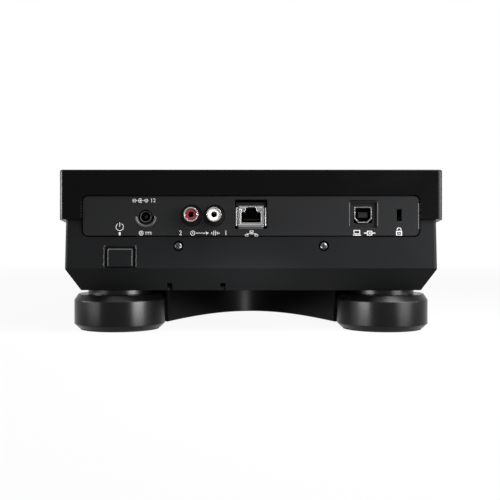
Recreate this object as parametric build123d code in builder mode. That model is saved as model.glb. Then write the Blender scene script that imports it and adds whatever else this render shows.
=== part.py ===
from build123d import *
import os
from dataclasses import dataclass
from math import cos, radians, sin, tan

# A table-top media player. Millimetres, +Z up, +Y towards the connector panel, -Y towards the player.
# The origin lies on the table under the middle of the object.
os.makedirs("parts", exist_ok=True)

# Whole case
case_width = 222.0
case_depth = 292.0
rear_height = 95.1
deck_tilt = 5.5
sleeve_reach = 5.5

# Top cover: a sloping deck with a deep rim
rim_height = 28.8
rim_wall = 2.5
deck_skin = 2.5
rim_corner = 3.0
rim_edge = 0.8
lip_width = 6.5
lip_thickness = 2.0

# Lower case: upright sides, then a chamfer down to a flat base
lower_inset = 3.4
lower_rear_inset = 1.6
lower_wall = 2.5
lower_corner = 2.0
crease_height = 38.0
front_crease_height = 31.0
base_height = 24.5
side_chamfer_slope = 0.533
rear_base_inset = 12.0
front_base_inset = 14.0

# Feet
foot_radius = 27.6
foot_side_inset = 30.4
foot_x = case_width / 2 - foot_side_inset
foot_rear_inset = 32.0
foot_front_inset = 32.0
foot_shoulder_height = 17.9
foot_top_height = 21.5
foot_chamfer = 2.5
foot_collar_radius = 19.3
pad_radius = 24.0
pad_thickness = 1.0
pad_hole_radius = 7.0
foot_screw_radius = 2.0
foot_screw_head_radius = 4.2
foot_screw_head_height = 2.6
foot_screw_well_radius = 5.0
foot_screw_seat_height = 8.0
foot_screw_grip = 8.0
foot_boss_radius = 6.0
foot_boss_height = 10.0

# Under tray between the feet, with a hollow rear wall
tray_bottom = 3.0
tray_side_inset = 19.0
tray_half_width = case_width / 2 - tray_side_inset
tray_mouth_gap = 28.3
tray_mouth_half_width = foot_x - tray_mouth_gap
tray_mouth_inset = 38.0
tray_vertex_inset = 112.6
tray_tip_inset = 40.0
tray_front_inset = 17.0
tray_front_bow = 8.0
tray_chamfer = 0.5
tray_foot_gap = 1.0
tray_pocket_wall = 4.0
tray_pocket_room = 152.0
tray_pocket_length = case_depth - tray_pocket_room
tray_pocket_width = 2 * (foot_x - foot_radius - tray_foot_gap - tray_pocket_wall)
tray_pocket_corner = 8.0
tray_floor = 2.5
tray_boss_x = 40.0
tray_boss_room = 182.0
tray_boss_spacing = case_depth - tray_boss_room
tray_boss_radius = 5.0

# Small screws, shared by the case, tray and boards
screw_radius = 1.5
screw_clearance = 0.05
screw_head_radius = 2.75
screw_head_height = 1.6
screw_head_taper = 22.0
screw_slot_width = 0.9
screw_slot_length = 3.6
screw_slot_depth = 0.8
screw_grip = 6.0
post_radius = 3.8
screw_well_radius = 3.15

# Connector panel in the rear
panel_side_margin = 13.0
panel_width = case_width - 2 * panel_side_margin
panel_bottom = 56.0
panel_height = 24.4
panel_corner = 3.65
panel_thickness = 2.0
panel_recess = 0.5
panel_flange = 2.0
panel_flange_bottom = 68.6
window_depth = 9.0

# Jacks, placed on the tilted jack plane: x to the right as seen from behind, y square to the deck
jack_height = 68.0
jack_back = 14.0
dc_inset = 37.1
dc_x = dc_inset - panel_width / 2
dc_y = -0.1
dc_dish_radius = 6.35
dc_dish_depth = 1.5
dc_barrel_radius = 3.65
dc_hole_radius = 2.75
dc_hole_depth = 9.0
dc_pin_radius = 1.0
dc_pin_length = 8.2
dc_pin_edge = 0.25
dc_body_size = 11.0
audio_offset = 3.25
audio_x = -panel_width / 8 - audio_offset
audio_y = 0.5
audio_pitch = 13.2
audio_base_radius = 5.9
audio_sleeve_radius = 4.15
audio_sleeve_root_radius = 4.0
audio_bore_radius = 3.5
audio_pin_hole_radius = 1.75
audio_sleeve_root = 6.0
audio_face_recess = 0.5
audio_body_height = 14.0
audio_body_margin = 7.0
lan_width = 14.4
lan_height = 12.4
lan_cutout_width = 18.8
lan_cutout_height = 16.8
lan_cutout_rise = 1.3
lan_side_wall = 1.0
lan_top_wall = 0.8
lan_floor_wall = 1.6
lan_leg_setback = 3.0
lan_insert_recess = 0.4
lan_cavity_width = 11.2
lan_cavity_bottom = -3.6
lan_cavity_top = 2.6
lan_step_half_width = 4.3
lan_step_top = 3.8
lan_latch_half_width = 3.0
lan_latch_top = 4.9
lan_recess = 0.8
lan_cavity_depth = 11.0
lan_spring_x = 8.2
lan_spring_thickness = 0.35
lan_spring_height = 10.4
lan_spring_length = 5.0
lan_spring_root = 1.0
lan_contact_count = 8
usb_b_inset = 33.1
usb_b_x = panel_width / 2 - usb_b_inset
usb_b_y = 1.1
usb_b_width = 10.0
usb_b_height = 9.3
usb_b_bevel = 2.3
usb_b_wall = 0.45
usb_b_recess = 1.6
usb_b_cavity_depth = 9.0
usb_b_tongue_width = 5.4
usb_b_tongue_height = 3.1
usb_b_cutout_width = 15.7
usb_b_cutout_height = 14.8
usb_b_cutout_rise = 0.7
usb_b_pocket_depth = 1.5
lock_inset = 12.3
lock_x = panel_width / 2 - lock_inset
lock_y = 0.7
lock_slot_width = 3.0
lock_slot_height = 7.0

# Power button and its switch in the lower case's rear wall
power_inset = 35.4
power_x = power_inset - case_width / 2
power_drop = 22.2
power_width = 14.9
power_height = 10.7
power_corner = 1.0
power_recess_width = 18.1
power_recess_height = 13.0
power_recess_depth = 1.0
power_travel = 1.5
power_switch_size = 10.0
power_switch_back = 12.0
power_plunger_radius = 1.6
power_plunger_length = 2.0
rear_screw_x = 42.1
rear_screw_drop = 15.5
rear_screw_sink = 1.3

# Screw wells in the lower edge of the rear chamfer
notch_x = (47.9, 16.6)
notch_radius = 1.6
notch_reach = 1.8
notch_height = 4.5

# How near two points are to count as one, and how upright an edge is to count as standing
same_place = 0.01
upright_share = 0.5

# Keys on the deck, in deck places: u to the player's right, v towards the rear
key_gap = 0.3
key_travel = 0.8
key_rise = 1.4
key_length_base = 2.9
key_length = case_width / 20 + key_length_base
key_width = 7.0
key_corner = 1.5
key_edge = 0.3
key_flange = 1.0
stop_gap = 0.1
stem_radius = 2.0
play_radius = 13.5
play_rise = 2.2
key_spacing = 4.0
keys_side_offset = 0.2
right_keys_u = case_width * 2 / 5 + keys_side_offset
left_keys_u = -right_keys_u
key_row_spacing = 16.0
play_inset = 62.0
play_v = play_inset - case_depth / 2
cue_v = play_v - 2 * play_radius - 2 * key_spacing
track_spacing = 30.0
track_v = play_v + track_spacing
search_v = track_v + key_row_spacing
pair_offset = (key_length + key_spacing) / 2
browse_inset = 46.0
browse_v = case_depth / 2 - browse_inset
loop_v = 20.0
loop_inset = 19.0
loop_first_u = loop_inset - case_width / 2
loop_pitch = key_length + key_spacing
memory_first_u = -loop_pitch

# Switches and the board under the keys
switch_size = 6.0
switch_height = 3.4
switch_plunger_radius = 1.7
switch_plunger_height = 0.9
board_thickness = 1.6
panel_board_depth = 11.0
panel_board_edge_gap = 5.0
panel_board_half_width = case_width / 2 - rim_wall - panel_board_edge_gap
panel_board_front_inset = 4.0
panel_board_front_v = panel_board_front_inset - case_depth / 2
panel_board_rear_room = 12.0
panel_board_rear_v = loop_v + panel_board_rear_room
panel_board_arm_gap = 5.0
panel_board_arm_inset = 22.0
panel_board_arm_v = case_depth / 2 - panel_board_arm_inset
board_boss_radius = 3.2
board_gap = 0.6
board_boss_side_inset = 13.0
board_boss_side_u = case_width / 2 - board_boss_side_inset
board_boss_front_u = 70.0
board_boss_front_inset = 10.0
board_boss_front_v = board_boss_front_inset - case_depth / 2
board_boss_middle_u = -34.0
board_boss_arm_u = 66.0
board_boss_key_gap = 18.0
board_boss_knob_gap = 28.0
case_post_front_u = 50.0
case_post_front_inset = 8.0
case_post_front_v = case_post_front_inset - case_depth / 2
case_post_side_inset = 16.0
case_post_side_u = case_width / 2 - case_post_side_inset
case_post_side_offset = 1.0

# Jog wheel
jog_u = -2.0
jog_offset = 11.0
jog_v = jog_offset - case_depth / 4
jog_side_room = 12.0
jog_radius = case_width / 3 - jog_side_room
jog_gap = 1.0
jog_ring_width = 7.5
jog_sink = 1.0
jog_rise = 10.0
jog_edge = 1.2
jog_web_bottom = 3.0
jog_web_top = 6.0
jog_hub_radius = 8.0
jog_hub_top = 7.0
jog_plate_radius = jog_radius - jog_ring_width - jog_gap
jog_plate_lift = 0.5
jog_plate_thickness = 2.0
jog_plate_edge = 0.65
jog_plate_travel = 0.4
jog_skirt_inset = 20.0
jog_skirt_radius = jog_radius - jog_skirt_inset
jog_skirt_width = 2.0
jog_cap_radius = 20.0
jog_cap_height = 2.0
jog_dimple_count = 16
jog_dimple_radius = 12.0
jog_dimple_depth = 1.8
spindle_radius = 3.0
spindle_clearance = 0.05
spindle_head_radius = 5.0
spindle_head_height = 1.2
support_floor_depth = 12.0
support_thickness = 2.0
support_flange_width = 5.0
support_boss_radius = 9.0
support_boss_top = 4.0

# Tempo fader
fader_offset = 2.0
fader_u = right_keys_u + fader_offset
fader_inset = 70.0
fader_v = fader_inset - case_depth / 2
fader_travel = 50.0
fader_cap_length = 22.0
fader_cap_width = 12.0
fader_cap_height = 9.0
fader_cap_lift = 0.8
fader_cap_edge = 1.5
fader_groove = 0.8
fader_groove_pitch = 5.5
fader_stem_width = 1.2
fader_stem_length = 5.0
fader_stem_sink = 3.5
fader_slot_width = 2.4
fader_body_width = 9.0
fader_body_depth = 9.5
fader_body_wall = 1.6
fader_end_room = 3.0
fader_carriage_length = 8.0
fader_carriage_gap = 0.2

# Tempo and sync keys, behind the fader
tempo_keys_spacing = 74.0
tempo_keys_v = fader_v + tempo_keys_spacing
sync_v = tempo_keys_v + key_row_spacing

# Selector knob, which turns and can be pushed
selector_u = right_keys_u
selector_inset = 78.0
selector_v = case_depth / 2 - selector_inset
selector_radius = 11.0
selector_height = 11.0
selector_lift = 1.0
selector_travel = 0.5
selector_edge = 1.0
selector_shaft_radius = 3.0
selector_shaft_end_gap = 2.0
selector_bushing_radius = 4.2
selector_bushing_gap = 0.3
selector_body_size = 12.0
selector_body_height = 6.5
selector_shaft_bottom = 9.4
knurl_count = 36
knurl_radius = 0.6

# Touch display
display_u = -12.0
display_inset = 62.0
display_v = case_depth / 2 - display_inset
display_length = 128.0
display_width = 80.0
display_corner = 3.0
display_recess = 1.2
display_ledge = 5.0
display_gap = 0.3
module_depth = 7.5
module_margin = 2.0

# Socket for memory sticks, in the deck
stick_offset = 5.0
stick_u = right_keys_u - stick_offset
stick_inset = 13.0
stick_v = case_depth / 2 - stick_inset
stick_hole_length = 12.6
stick_hole_width = 5.0
stick_shell_wall = 1.0
stick_depth = 13.0
stick_tongue_width = 2.0
stick_tongue_length = 11.0

# Boards and bracket inside
jack_board_drop = 7.0
jack_board_length = 150.0
jack_board_depth = 24.0
bracket_thickness = 1.2
bracket_end_room = 9.6
bracket_length = -2 * (power_x + bracket_end_room)
bracket_plate_drop = 20.0
main_board_height = 33.0
main_board_side_room = 41.0
main_board_length = case_width - 2 * main_board_side_room
main_board_end_room = 61.0
main_board_depth = case_depth - 2 * main_board_end_room
main_board_post_inset = 8.0
main_board_post_radius = 3.5

# Places and planes that follow from the sizes above
tilt = radians(deck_tilt)
rear_y = (case_depth - sleeve_reach) / 2
front_y = rear_y - case_depth
mid_y = rear_y - case_depth / 2
mid_z = rear_height - case_depth / 2 * tan(tilt)
rear_seam_z = rear_height - rim_height
seam_depth = rim_height * cos(tilt)
lower_side_x = case_width / 2 - lower_inset
crease_rear_y = rear_y - lower_rear_inset + (rear_seam_z - crease_height) * tan(tilt)
crease_front_y = front_y + lower_inset
floor_z = base_height + lower_wall
panel_face_y = rear_y - panel_recess
panel_mid_z = panel_bottom + panel_height / 2
feet_places = [
    (side * foot_x, y)
    for y in (rear_y - foot_rear_inset, front_y + foot_front_inset)
    for side in (-1, 1)
]
panel_board_arm_u = display_u + display_length / 2 + panel_board_arm_gap
board_boss_places = (
    (-board_boss_side_u, search_v + board_boss_key_gap),
    (-board_boss_front_u, board_boss_front_v),
    (board_boss_front_u, board_boss_front_v),
    (board_boss_middle_u, loop_v),
    (board_boss_arm_u, selector_v - board_boss_knob_gap),
    (board_boss_arm_u, browse_v + board_boss_key_gap),
)
case_post_side_v = (sync_v + selector_v) / 2 + case_post_side_offset
case_post_places = (
    (-case_post_front_u, case_post_front_v),
    (case_post_front_u, case_post_front_v),
    (-case_post_side_u, case_post_side_v),
    (case_post_side_u, case_post_side_v),
)
deck_up = Vector(0, -sin(tilt), cos(tilt))
jack_out = Vector(0, cos(tilt), sin(tilt))
deck = Plane(origin=(0, mid_y, mid_z), x_dir=(1, 0, 0), z_dir=deck_up)
rear_face = Plane(origin=(0, rear_y, 0), x_dir=(-1, 0, 0), z_dir=(0, 1, 0))
jack_face = Plane(origin=(0, rear_y, jack_height), x_dir=(-1, 0, 0), z_dir=jack_out)
lower_rear = Plane(origin=(0, rear_y - lower_rear_inset, rear_seam_z), x_dir=(-1, 0, 0), z_dir=jack_out)


@dataclass(frozen=True)
class Key:
    """One push key of the deck: its node name, place and outline."""

    name: str
    u: float
    v: float
    length: float = key_length
    width: float = key_width
    corner: float = key_corner
    rise: float = key_rise


def round_key(name: str, u: float, v: float) -> Key:
    """Return a large round key."""
    return Key(name, u, v, 2 * play_radius, 2 * play_radius, play_radius, play_rise)


keys = [
    round_key("play_button", left_keys_u, play_v),
    round_key("cue_button", left_keys_u, cue_v),
    Key("track_back_button", left_keys_u - pair_offset, track_v),
    Key("track_forward_button", left_keys_u + pair_offset, track_v),
    Key("search_back_button", left_keys_u - pair_offset, search_v),
    Key("search_forward_button", left_keys_u + pair_offset, search_v),
    Key("loop_in_button", loop_first_u, loop_v),
    Key("loop_out_button", loop_first_u + loop_pitch, loop_v),
    Key("reloop_button", loop_first_u + 2 * loop_pitch, loop_v),
    Key("memory_button", memory_first_u, loop_v),
    Key("call_back_button", memory_first_u + loop_pitch, loop_v),
    Key("call_forward_button", memory_first_u + 2 * loop_pitch, loop_v),
    Key("beat_sync_button", right_keys_u - pair_offset, sync_v),
    Key("master_button", right_keys_u + pair_offset, sync_v),
    Key("master_tempo_button", right_keys_u - pair_offset, tempo_keys_v),
    Key("tempo_range_button", right_keys_u + pair_offset, tempo_keys_v),
    Key("back_button", right_keys_u - pair_offset, browse_v),
    Key("tag_track_button", right_keys_u + pair_offset, browse_v),
]


def save(piece: BuildPart, name: str) -> None:
    """Label a finished piece and write its file."""
    piece.part.label = name
    export_step(piece.part, f"parts/{name}.step")


def sloped_height(y: float, height_at_rear: float) -> float:
    """Return the height, at y, of a line parallel to the deck."""
    return height_at_rear - (rear_y - y) * tan(tilt)


def deck_plane(u: float, v: float, rise: float) -> Plane:
    """Return a plane parallel to the deck, centred on a deck place."""
    return Plane(origin=deck.from_local_coords((u, v, rise)), x_dir=(1, 0, 0), z_dir=deck_up)


def tilted_rear_plane(base: Plane, x: float, y: float, out: float) -> Plane:
    """Return a plane parallel to a tilted rear plane, centred on a place in it."""
    return Plane(origin=base.from_local_coords((x, y, out)), x_dir=(-1, 0, 0), z_dir=jack_out)


def sloped_prism(
    y_rear: float, y_front: float, top: float, bottom: float, half_width: float, mode: Mode
) -> None:
    """Add or cut a block whose top and bottom run parallel to the deck.

    top and bottom are the heights of those two planes above the rim's rear face.
    """
    with BuildSketch(Plane.YZ) as profile:
        with BuildLine():
            Polyline(
                (y_rear, sloped_height(y_rear, bottom)),
                (y_rear, sloped_height(y_rear, top)),
                (y_front, sloped_height(y_front, top)),
                (y_front, sloped_height(y_front, bottom)),
                close=True,
            )
        make_face()
    extrude(profile.sketch, amount=half_width, both=True, mode=mode)


def outline(length: float, width: float, corner: float) -> None:
    """Draw a rounded rectangle, or a circle where the corner takes the whole width."""
    if corner * 2 >= min(length, width):
        Circle(min(length, width) / 2)
    else:
        RectangleRounded(length, width, corner)


def crease_z(y: float) -> float:
    """Return the height of the crease above the side chamfers."""
    run = (crease_rear_y - y) / (crease_rear_y - crease_front_y)
    return crease_height - run * (crease_height - front_crease_height)


def lower_section(y: float, inset: float) -> Sketch:
    """Return the lower case's section across the object at y, shrunk by inset."""
    drop = crease_z(y) - base_height
    base_x = lower_side_x - drop * side_chamfer_slope
    with BuildSketch(Plane.XZ.offset(-y)) as section:
        with BuildLine():
            Polyline(
                (-lower_side_x, rear_height),
                (-lower_side_x, crease_z(y)),
                (-base_x, base_height),
                (base_x, base_height),
                (lower_side_x, crease_z(y)),
                (lower_side_x, rear_height),
                close=True,
            )
        make_face()
        if inset:
            offset(amount=-inset, kind=Kind.INTERSECTION)
    return section.sketch


def lower_form(inset: float, open_top: float) -> None:
    """Make the lower case's outer form, or its inside where an inset is given."""
    reach = case_depth / 8  # beyond the ends, so that the end profile trims it
    rear_section = lower_section(rear_y + reach, inset)
    front_section = lower_section(front_y - reach, inset)
    loft([rear_section.face(), front_section.face()], ruled=True)
    top_rear = rear_y - lower_rear_inset
    seam_drop = lower_rear_inset * sin(tilt) * cos(tilt)
    with BuildSketch(Plane.YZ) as profile:
        with BuildLine():
            Polyline(
                (top_rear + (seam_drop - open_top) * tan(tilt), rear_seam_z - seam_drop + open_top),
                (crease_rear_y, crease_height),
                (rear_y - rear_base_inset, base_height),
                (front_y + front_base_inset, base_height),
                (crease_front_y, front_crease_height),
                (crease_front_y, sloped_height(crease_front_y, rear_seam_z) + open_top),
                close=True,
            )
        make_face()
        if inset:
            offset(amount=-inset, kind=Kind.INTERSECTION)
    extrude(profile.sketch, amount=case_width, both=True, mode=Mode.INTERSECT)


def screw_down(place: Plane, grip: float) -> None:
    """Add one small screw whose head seats on the plane and whose shank runs against its normal."""
    with BuildSketch(place) as head:
        Circle(screw_head_radius)
    extrude(head.sketch, amount=screw_head_height, taper=screw_head_taper)
    with BuildSketch(place) as shank:
        Circle(screw_radius)
    extrude(shank.sketch, amount=-grip)
    with BuildSketch(place.offset(screw_head_height)) as cross:
        Rectangle(screw_slot_length, screw_slot_width)
        Rectangle(screw_slot_width, screw_slot_length)
    extrude(cross.sketch, amount=-screw_slot_depth, mode=Mode.SUBTRACT)


screw_hole_radius = screw_radius + screw_clearance
key_room = deck_skin + stop_gap + key_flange

# Top cover
with BuildPart() as top_cover:
    sloped_prism(rear_y, front_y, rear_height, rear_seam_z, case_width / 2, Mode.ADD)
    fillet(top_cover.edges().filter_by(Axis.Z), radius=rim_corner)
    deck_face = top_cover.faces().sort_by(Axis((0, 0, 0), deck_up))[-1]
    fillet(deck_face.edges(), radius=rim_edge)
    skin_drop = deck_skin / cos(tilt)
    sloped_prism(
        rear_y - rim_wall,
        front_y + rim_wall,
        rear_height - skin_drop,
        rear_seam_z + lip_thickness,
        case_width / 2 - rim_wall,
        Mode.SUBTRACT,
    )
    sloped_prism(
        rear_y - lip_width,
        front_y + lip_width,
        rear_seam_z + lip_thickness,
        rear_seam_z,
        case_width / 2 - lip_width,
        Mode.SUBTRACT,
    )
    with BuildSketch(deck.offset(-deck_skin)):
        with Locations(*case_post_places):
            Circle(post_radius)
    extrude(amount=deck_skin - seam_depth)
    with BuildSketch(deck.offset(-deck_skin)):
        with Locations(*board_boss_places):
            Circle(board_boss_radius)
    extrude(amount=deck_skin - panel_board_depth)
    with BuildSketch(rear_face):
        with Locations((0, panel_mid_z)):
            RectangleRounded(panel_width, panel_height, panel_corner)
    extrude(amount=-window_depth, mode=Mode.SUBTRACT)
    with BuildSketch(deck):
        for key in keys:
            with Locations((key.u, key.v)):
                outline(key.length + 2 * key_gap, key.width + 2 * key_gap, key.corner + key_gap)
        with Locations((jog_u, jog_v)):
            Circle(jog_radius + jog_gap)
        with Locations((fader_u, fader_v)):
            SlotOverall(2 * fader_travel + fader_stem_length + fader_end_room, fader_slot_width, rotation=90)
        with Locations((selector_u, selector_v)):
            Circle(selector_bushing_radius + selector_bushing_gap)
        with Locations((display_u, display_v)):
            Rectangle(display_length - 2 * display_ledge, display_width - 2 * display_ledge)
        with Locations((stick_u, stick_v)):
            Rectangle(stick_hole_length, stick_hole_width)
    extrude(amount=-deck_skin, mode=Mode.SUBTRACT)
    with BuildSketch(deck):
        with Locations((display_u, display_v)):
            RectangleRounded(display_length, display_width, display_corner)
    extrude(amount=-display_recess, mode=Mode.SUBTRACT)
    with BuildSketch(deck.offset(-seam_depth)):
        with Locations(*case_post_places):
            Circle(screw_hole_radius)
    extrude(amount=screw_grip + screw_grip, mode=Mode.SUBTRACT)
    with BuildSketch(deck.offset(-panel_board_depth)):
        with Locations(*board_boss_places):
            Circle(screw_hole_radius)
    extrude(amount=screw_grip, mode=Mode.SUBTRACT)
save(top_cover, "top_cover")

# Lower case
main_post_x = main_board_length / 2 - main_board_post_inset
main_post_y = main_board_depth / 2 - main_board_post_inset
main_post_places = [(sx * main_post_x, mid_y + sy * main_post_y) for sx in (-1, 1) for sy in (-1, 1)]
tray_mid_y = (rear_y - tray_vertex_inset + front_y + tray_front_inset) / 2
tray_boss_places = [
    (sx * tray_boss_x, tray_mid_y + sy * tray_boss_spacing / 2) for sx in (-1, 1) for sy in (-1, 1)
]
post_tops = [deck.from_local_coords((u, v, -seam_depth)) for u, v in case_post_places]
power_seat_drop = power_drop + power_switch_size / 2
power_switch_front = -(lower_wall + power_switch_back)
power_seat = lower_rear.from_local_coords((power_x, -power_seat_drop, power_switch_front - power_switch_size))
pedestal_height = power_seat.Z - floor_z + lower_wall / 2

with BuildPart() as case_core:
    lower_form(lower_wall, 2 * lower_wall)

with BuildPart() as bottom_case:
    lower_form(0, 0)
    seam_face = bottom_case.faces().sort_by(Axis((0, 0, 0), deck_up))[-1]
    rim_corners = seam_face.vertices()
    upright_edges = [
        edge
        for edge in bottom_case.edges()
        if any((edge @ end - corner.center()).length < same_place for end in (0, 1) for corner in rim_corners)
        and abs(edge.tangent_at(0).Z) > upright_share
    ]
    fillet(upright_edges, radius=lower_corner)
    add(case_core.part, mode=Mode.SUBTRACT)
    with BuildSketch(Plane.XY.offset(base_height)):
        with Locations(*feet_places):
            Circle(foot_boss_radius)
        with Locations(*tray_boss_places):
            Circle(post_radius)
    extrude(amount=foot_boss_height)
    with BuildSketch(Plane.XY.offset(base_height)):
        with Locations(*main_post_places):
            Circle(main_board_post_radius)
    extrude(amount=main_board_height - base_height)
    for top in post_tops:
        with BuildSketch(Plane(origin=top, x_dir=(1, 0, 0), z_dir=deck_up)):
            Circle(post_radius)
        extrude(amount=-(top.Z - base_height - lower_wall / 2) * cos(tilt))
    with BuildSketch(tilted_rear_plane(lower_rear, power_x, -power_seat_drop, power_switch_front)):
        with Locations((0, -pedestal_height / 2)):
            Rectangle(power_switch_size, pedestal_height)
    extrude(amount=-power_switch_size)
    with BuildSketch(rear_face):
        with Locations((0, panel_mid_z)):
            RectangleRounded(panel_width, panel_height, panel_corner)
    extrude(amount=-window_depth, both=True, mode=Mode.SUBTRACT)
    with BuildSketch(lower_rear):
        with Locations((power_x, -power_drop)):
            RectangleRounded(power_recess_width, power_recess_height, power_corner)
    extrude(amount=-power_recess_depth, mode=Mode.SUBTRACT)
    with BuildSketch(lower_rear):
        with Locations((power_x, -power_drop)):
            RectangleRounded(power_width + 2 * key_gap, power_height + 2 * key_gap, power_corner + key_gap)
        with Locations((-rear_screw_x, -rear_screw_drop), (rear_screw_x, -rear_screw_drop)):
            Circle(screw_hole_radius)
    extrude(amount=-2 * lower_wall, mode=Mode.SUBTRACT)
    with BuildSketch(lower_rear):
        with Locations((-rear_screw_x, -rear_screw_drop), (rear_screw_x, -rear_screw_drop)):
            Circle(screw_well_radius)
    extrude(amount=-rear_screw_sink, mode=Mode.SUBTRACT)
    with BuildSketch(Plane.XY.offset(base_height)):
        with Locations(*[(x, rear_y - rear_base_inset + notch_reach) for x in notch_x]):
            SlotCenterToCenter(2 * notch_reach, 2 * notch_radius, rotation=90)
    extrude(amount=notch_height, mode=Mode.SUBTRACT)
    with BuildSketch(Plane.XY.offset(base_height)):
        with Locations(*feet_places):
            Circle(foot_screw_radius + screw_clearance)
        with Locations(*tray_boss_places):
            Circle(screw_hole_radius)
    extrude(amount=foot_screw_grip, mode=Mode.SUBTRACT)
    for top in post_tops:
        post_plane = Plane(origin=top, x_dir=(1, 0, 0), z_dir=deck_up)
        with BuildSketch(post_plane):
            Circle(screw_hole_radius)
        extrude(amount=-case_depth / 4, mode=Mode.SUBTRACT)
        with BuildSketch(post_plane.offset(-screw_grip)):
            Circle(screw_well_radius)
        extrude(amount=-case_depth / 4, mode=Mode.SUBTRACT)
    with BuildSketch(Plane.XY.offset(main_board_height)):
        with Locations(*main_post_places):
            Circle(screw_hole_radius)
    extrude(amount=-screw_grip + board_thickness, mode=Mode.SUBTRACT)
save(bottom_case, "bottom_case")

# Screws that hold the lower case to the top cover and the tray to the lower case
with BuildPart() as case_screws:
    for top in post_tops:
        seat = Plane(origin=top, x_dir=(1, 0, 0), z_dir=-deck_up).offset(screw_grip)
        screw_down(seat, 2 * screw_grip)
    for x, y in tray_boss_places:
        seat = Plane(origin=(x, y, tray_bottom + tray_floor), x_dir=(1, 0, 0), z_dir=(0, 0, -1))
        screw_down(seat, base_height - tray_bottom - tray_floor + screw_grip)
save(case_screws, "case_screws")

# Under tray: a box between the feet whose rear wall is a deep hollow curve
with BuildPart() as under_tray:
    mouth_y = rear_y - tray_mouth_inset
    vertex_y = rear_y - tray_vertex_inset
    side_y = rear_y - 2 * foot_rear_inset
    tray_front_y = front_y + tray_front_inset
    with BuildSketch(Plane.XY.offset(tray_bottom)):
        with BuildLine():
            hollow = Bezier(
                (-tray_mouth_half_width, mouth_y),
                (0, 2 * vertex_y - mouth_y),
                (tray_mouth_half_width, mouth_y),
            )
            Polyline(hollow @ 1, (tray_half_width, mouth_y), (tray_half_width, tray_front_y))
            ThreePointArc(
                (tray_half_width, tray_front_y),
                (0, tray_front_y + tray_front_bow),
                (-tray_half_width, tray_front_y),
            )
            Polyline((-tray_half_width, tray_front_y), (-tray_half_width, mouth_y), hollow @ 0)
        make_face()
        with Locations(*feet_places):
            Circle(foot_radius + tray_foot_gap, mode=Mode.SUBTRACT)
        with Locations((0, rear_y - tray_tip_inset + case_depth / 4)):
            Rectangle(case_width, case_depth / 2, mode=Mode.SUBTRACT)
        for side in (-1, 1):
            with Locations((side * tray_half_width, rear_y)):
                Rectangle(2 * (tray_half_width - foot_x), 4 * foot_rear_inset, mode=Mode.SUBTRACT)
    extrude(amount=base_height - tray_bottom)
    wall_edge = under_tray.edges().filter_by(GeomType.BEZIER).sort_by(Axis.Z)[0]
    chamfer(wall_edge, length=tray_chamfer)
    with BuildSketch(Plane.XY.offset(base_height)):
        with Locations((0, tray_mid_y)):
            RectangleRounded(tray_pocket_width, tray_pocket_length, tray_pocket_corner)
        with Locations(*tray_boss_places):
            Circle(tray_boss_radius, mode=Mode.SUBTRACT)
    extrude(amount=-(base_height - tray_bottom - tray_floor), mode=Mode.SUBTRACT)
    with BuildSketch(Plane.XY.offset(tray_bottom)):
        with Locations(*tray_boss_places):
            Circle(screw_well_radius)
    extrude(amount=tray_floor, mode=Mode.SUBTRACT)
    with BuildSketch(Plane.XY.offset(tray_bottom)):
        with Locations(*tray_boss_places):
            Circle(screw_hole_radius)
    extrude(amount=base_height - tray_bottom, mode=Mode.SUBTRACT)
save(under_tray, "under_tray")

# Feet with their pads and screws
with BuildPart() as feet:
    for x, y in feet_places:
        with BuildSketch(Plane(origin=(x, y, 0), x_dir=(1, 0, 0), z_dir=(0, -1, 0))):
            with BuildLine():
                Polyline(
                    (foot_screw_well_radius, pad_thickness),
                    (foot_radius - foot_chamfer, pad_thickness),
                    (foot_radius, pad_thickness + foot_chamfer),
                    (foot_radius, foot_shoulder_height),
                    (foot_radius - foot_chamfer, foot_top_height),
                    (foot_collar_radius, foot_top_height),
                    (foot_collar_radius, base_height),
                    (foot_screw_radius + screw_clearance, base_height),
                    (foot_screw_radius + screw_clearance, foot_screw_seat_height),
                    (foot_screw_well_radius, foot_screw_seat_height),
                    close=True,
                )
            make_face()
        revolve(axis=Axis((x, y, 0), (0, 0, 1)))
save(feet, "feet")

with BuildPart() as foot_pads:
    with BuildSketch(Plane.XY):
        with Locations(*feet_places):
            Circle(pad_radius)
            Circle(pad_hole_radius, mode=Mode.SUBTRACT)
    extrude(amount=pad_thickness)
save(foot_pads, "foot_pads")

with BuildPart() as foot_screws:
    with BuildSketch(Plane.XY.offset(foot_screw_seat_height)):
        with Locations(*feet_places):
            Circle(foot_screw_head_radius)
    extrude(amount=-foot_screw_head_height)
    with BuildSketch(Plane.XY.offset(foot_screw_seat_height)):
        with Locations(*feet_places):
            Circle(foot_screw_radius)
    extrude(amount=base_height - foot_screw_seat_height + foot_screw_grip)
    with BuildSketch(Plane.XY.offset(foot_screw_seat_height - foot_screw_head_height)):
        with Locations(*feet_places):
            Rectangle(screw_slot_length, screw_slot_width)
            Rectangle(screw_slot_width, screw_slot_length)
    extrude(amount=screw_slot_depth, mode=Mode.SUBTRACT)
save(foot_screws, "foot_screws")

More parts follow.
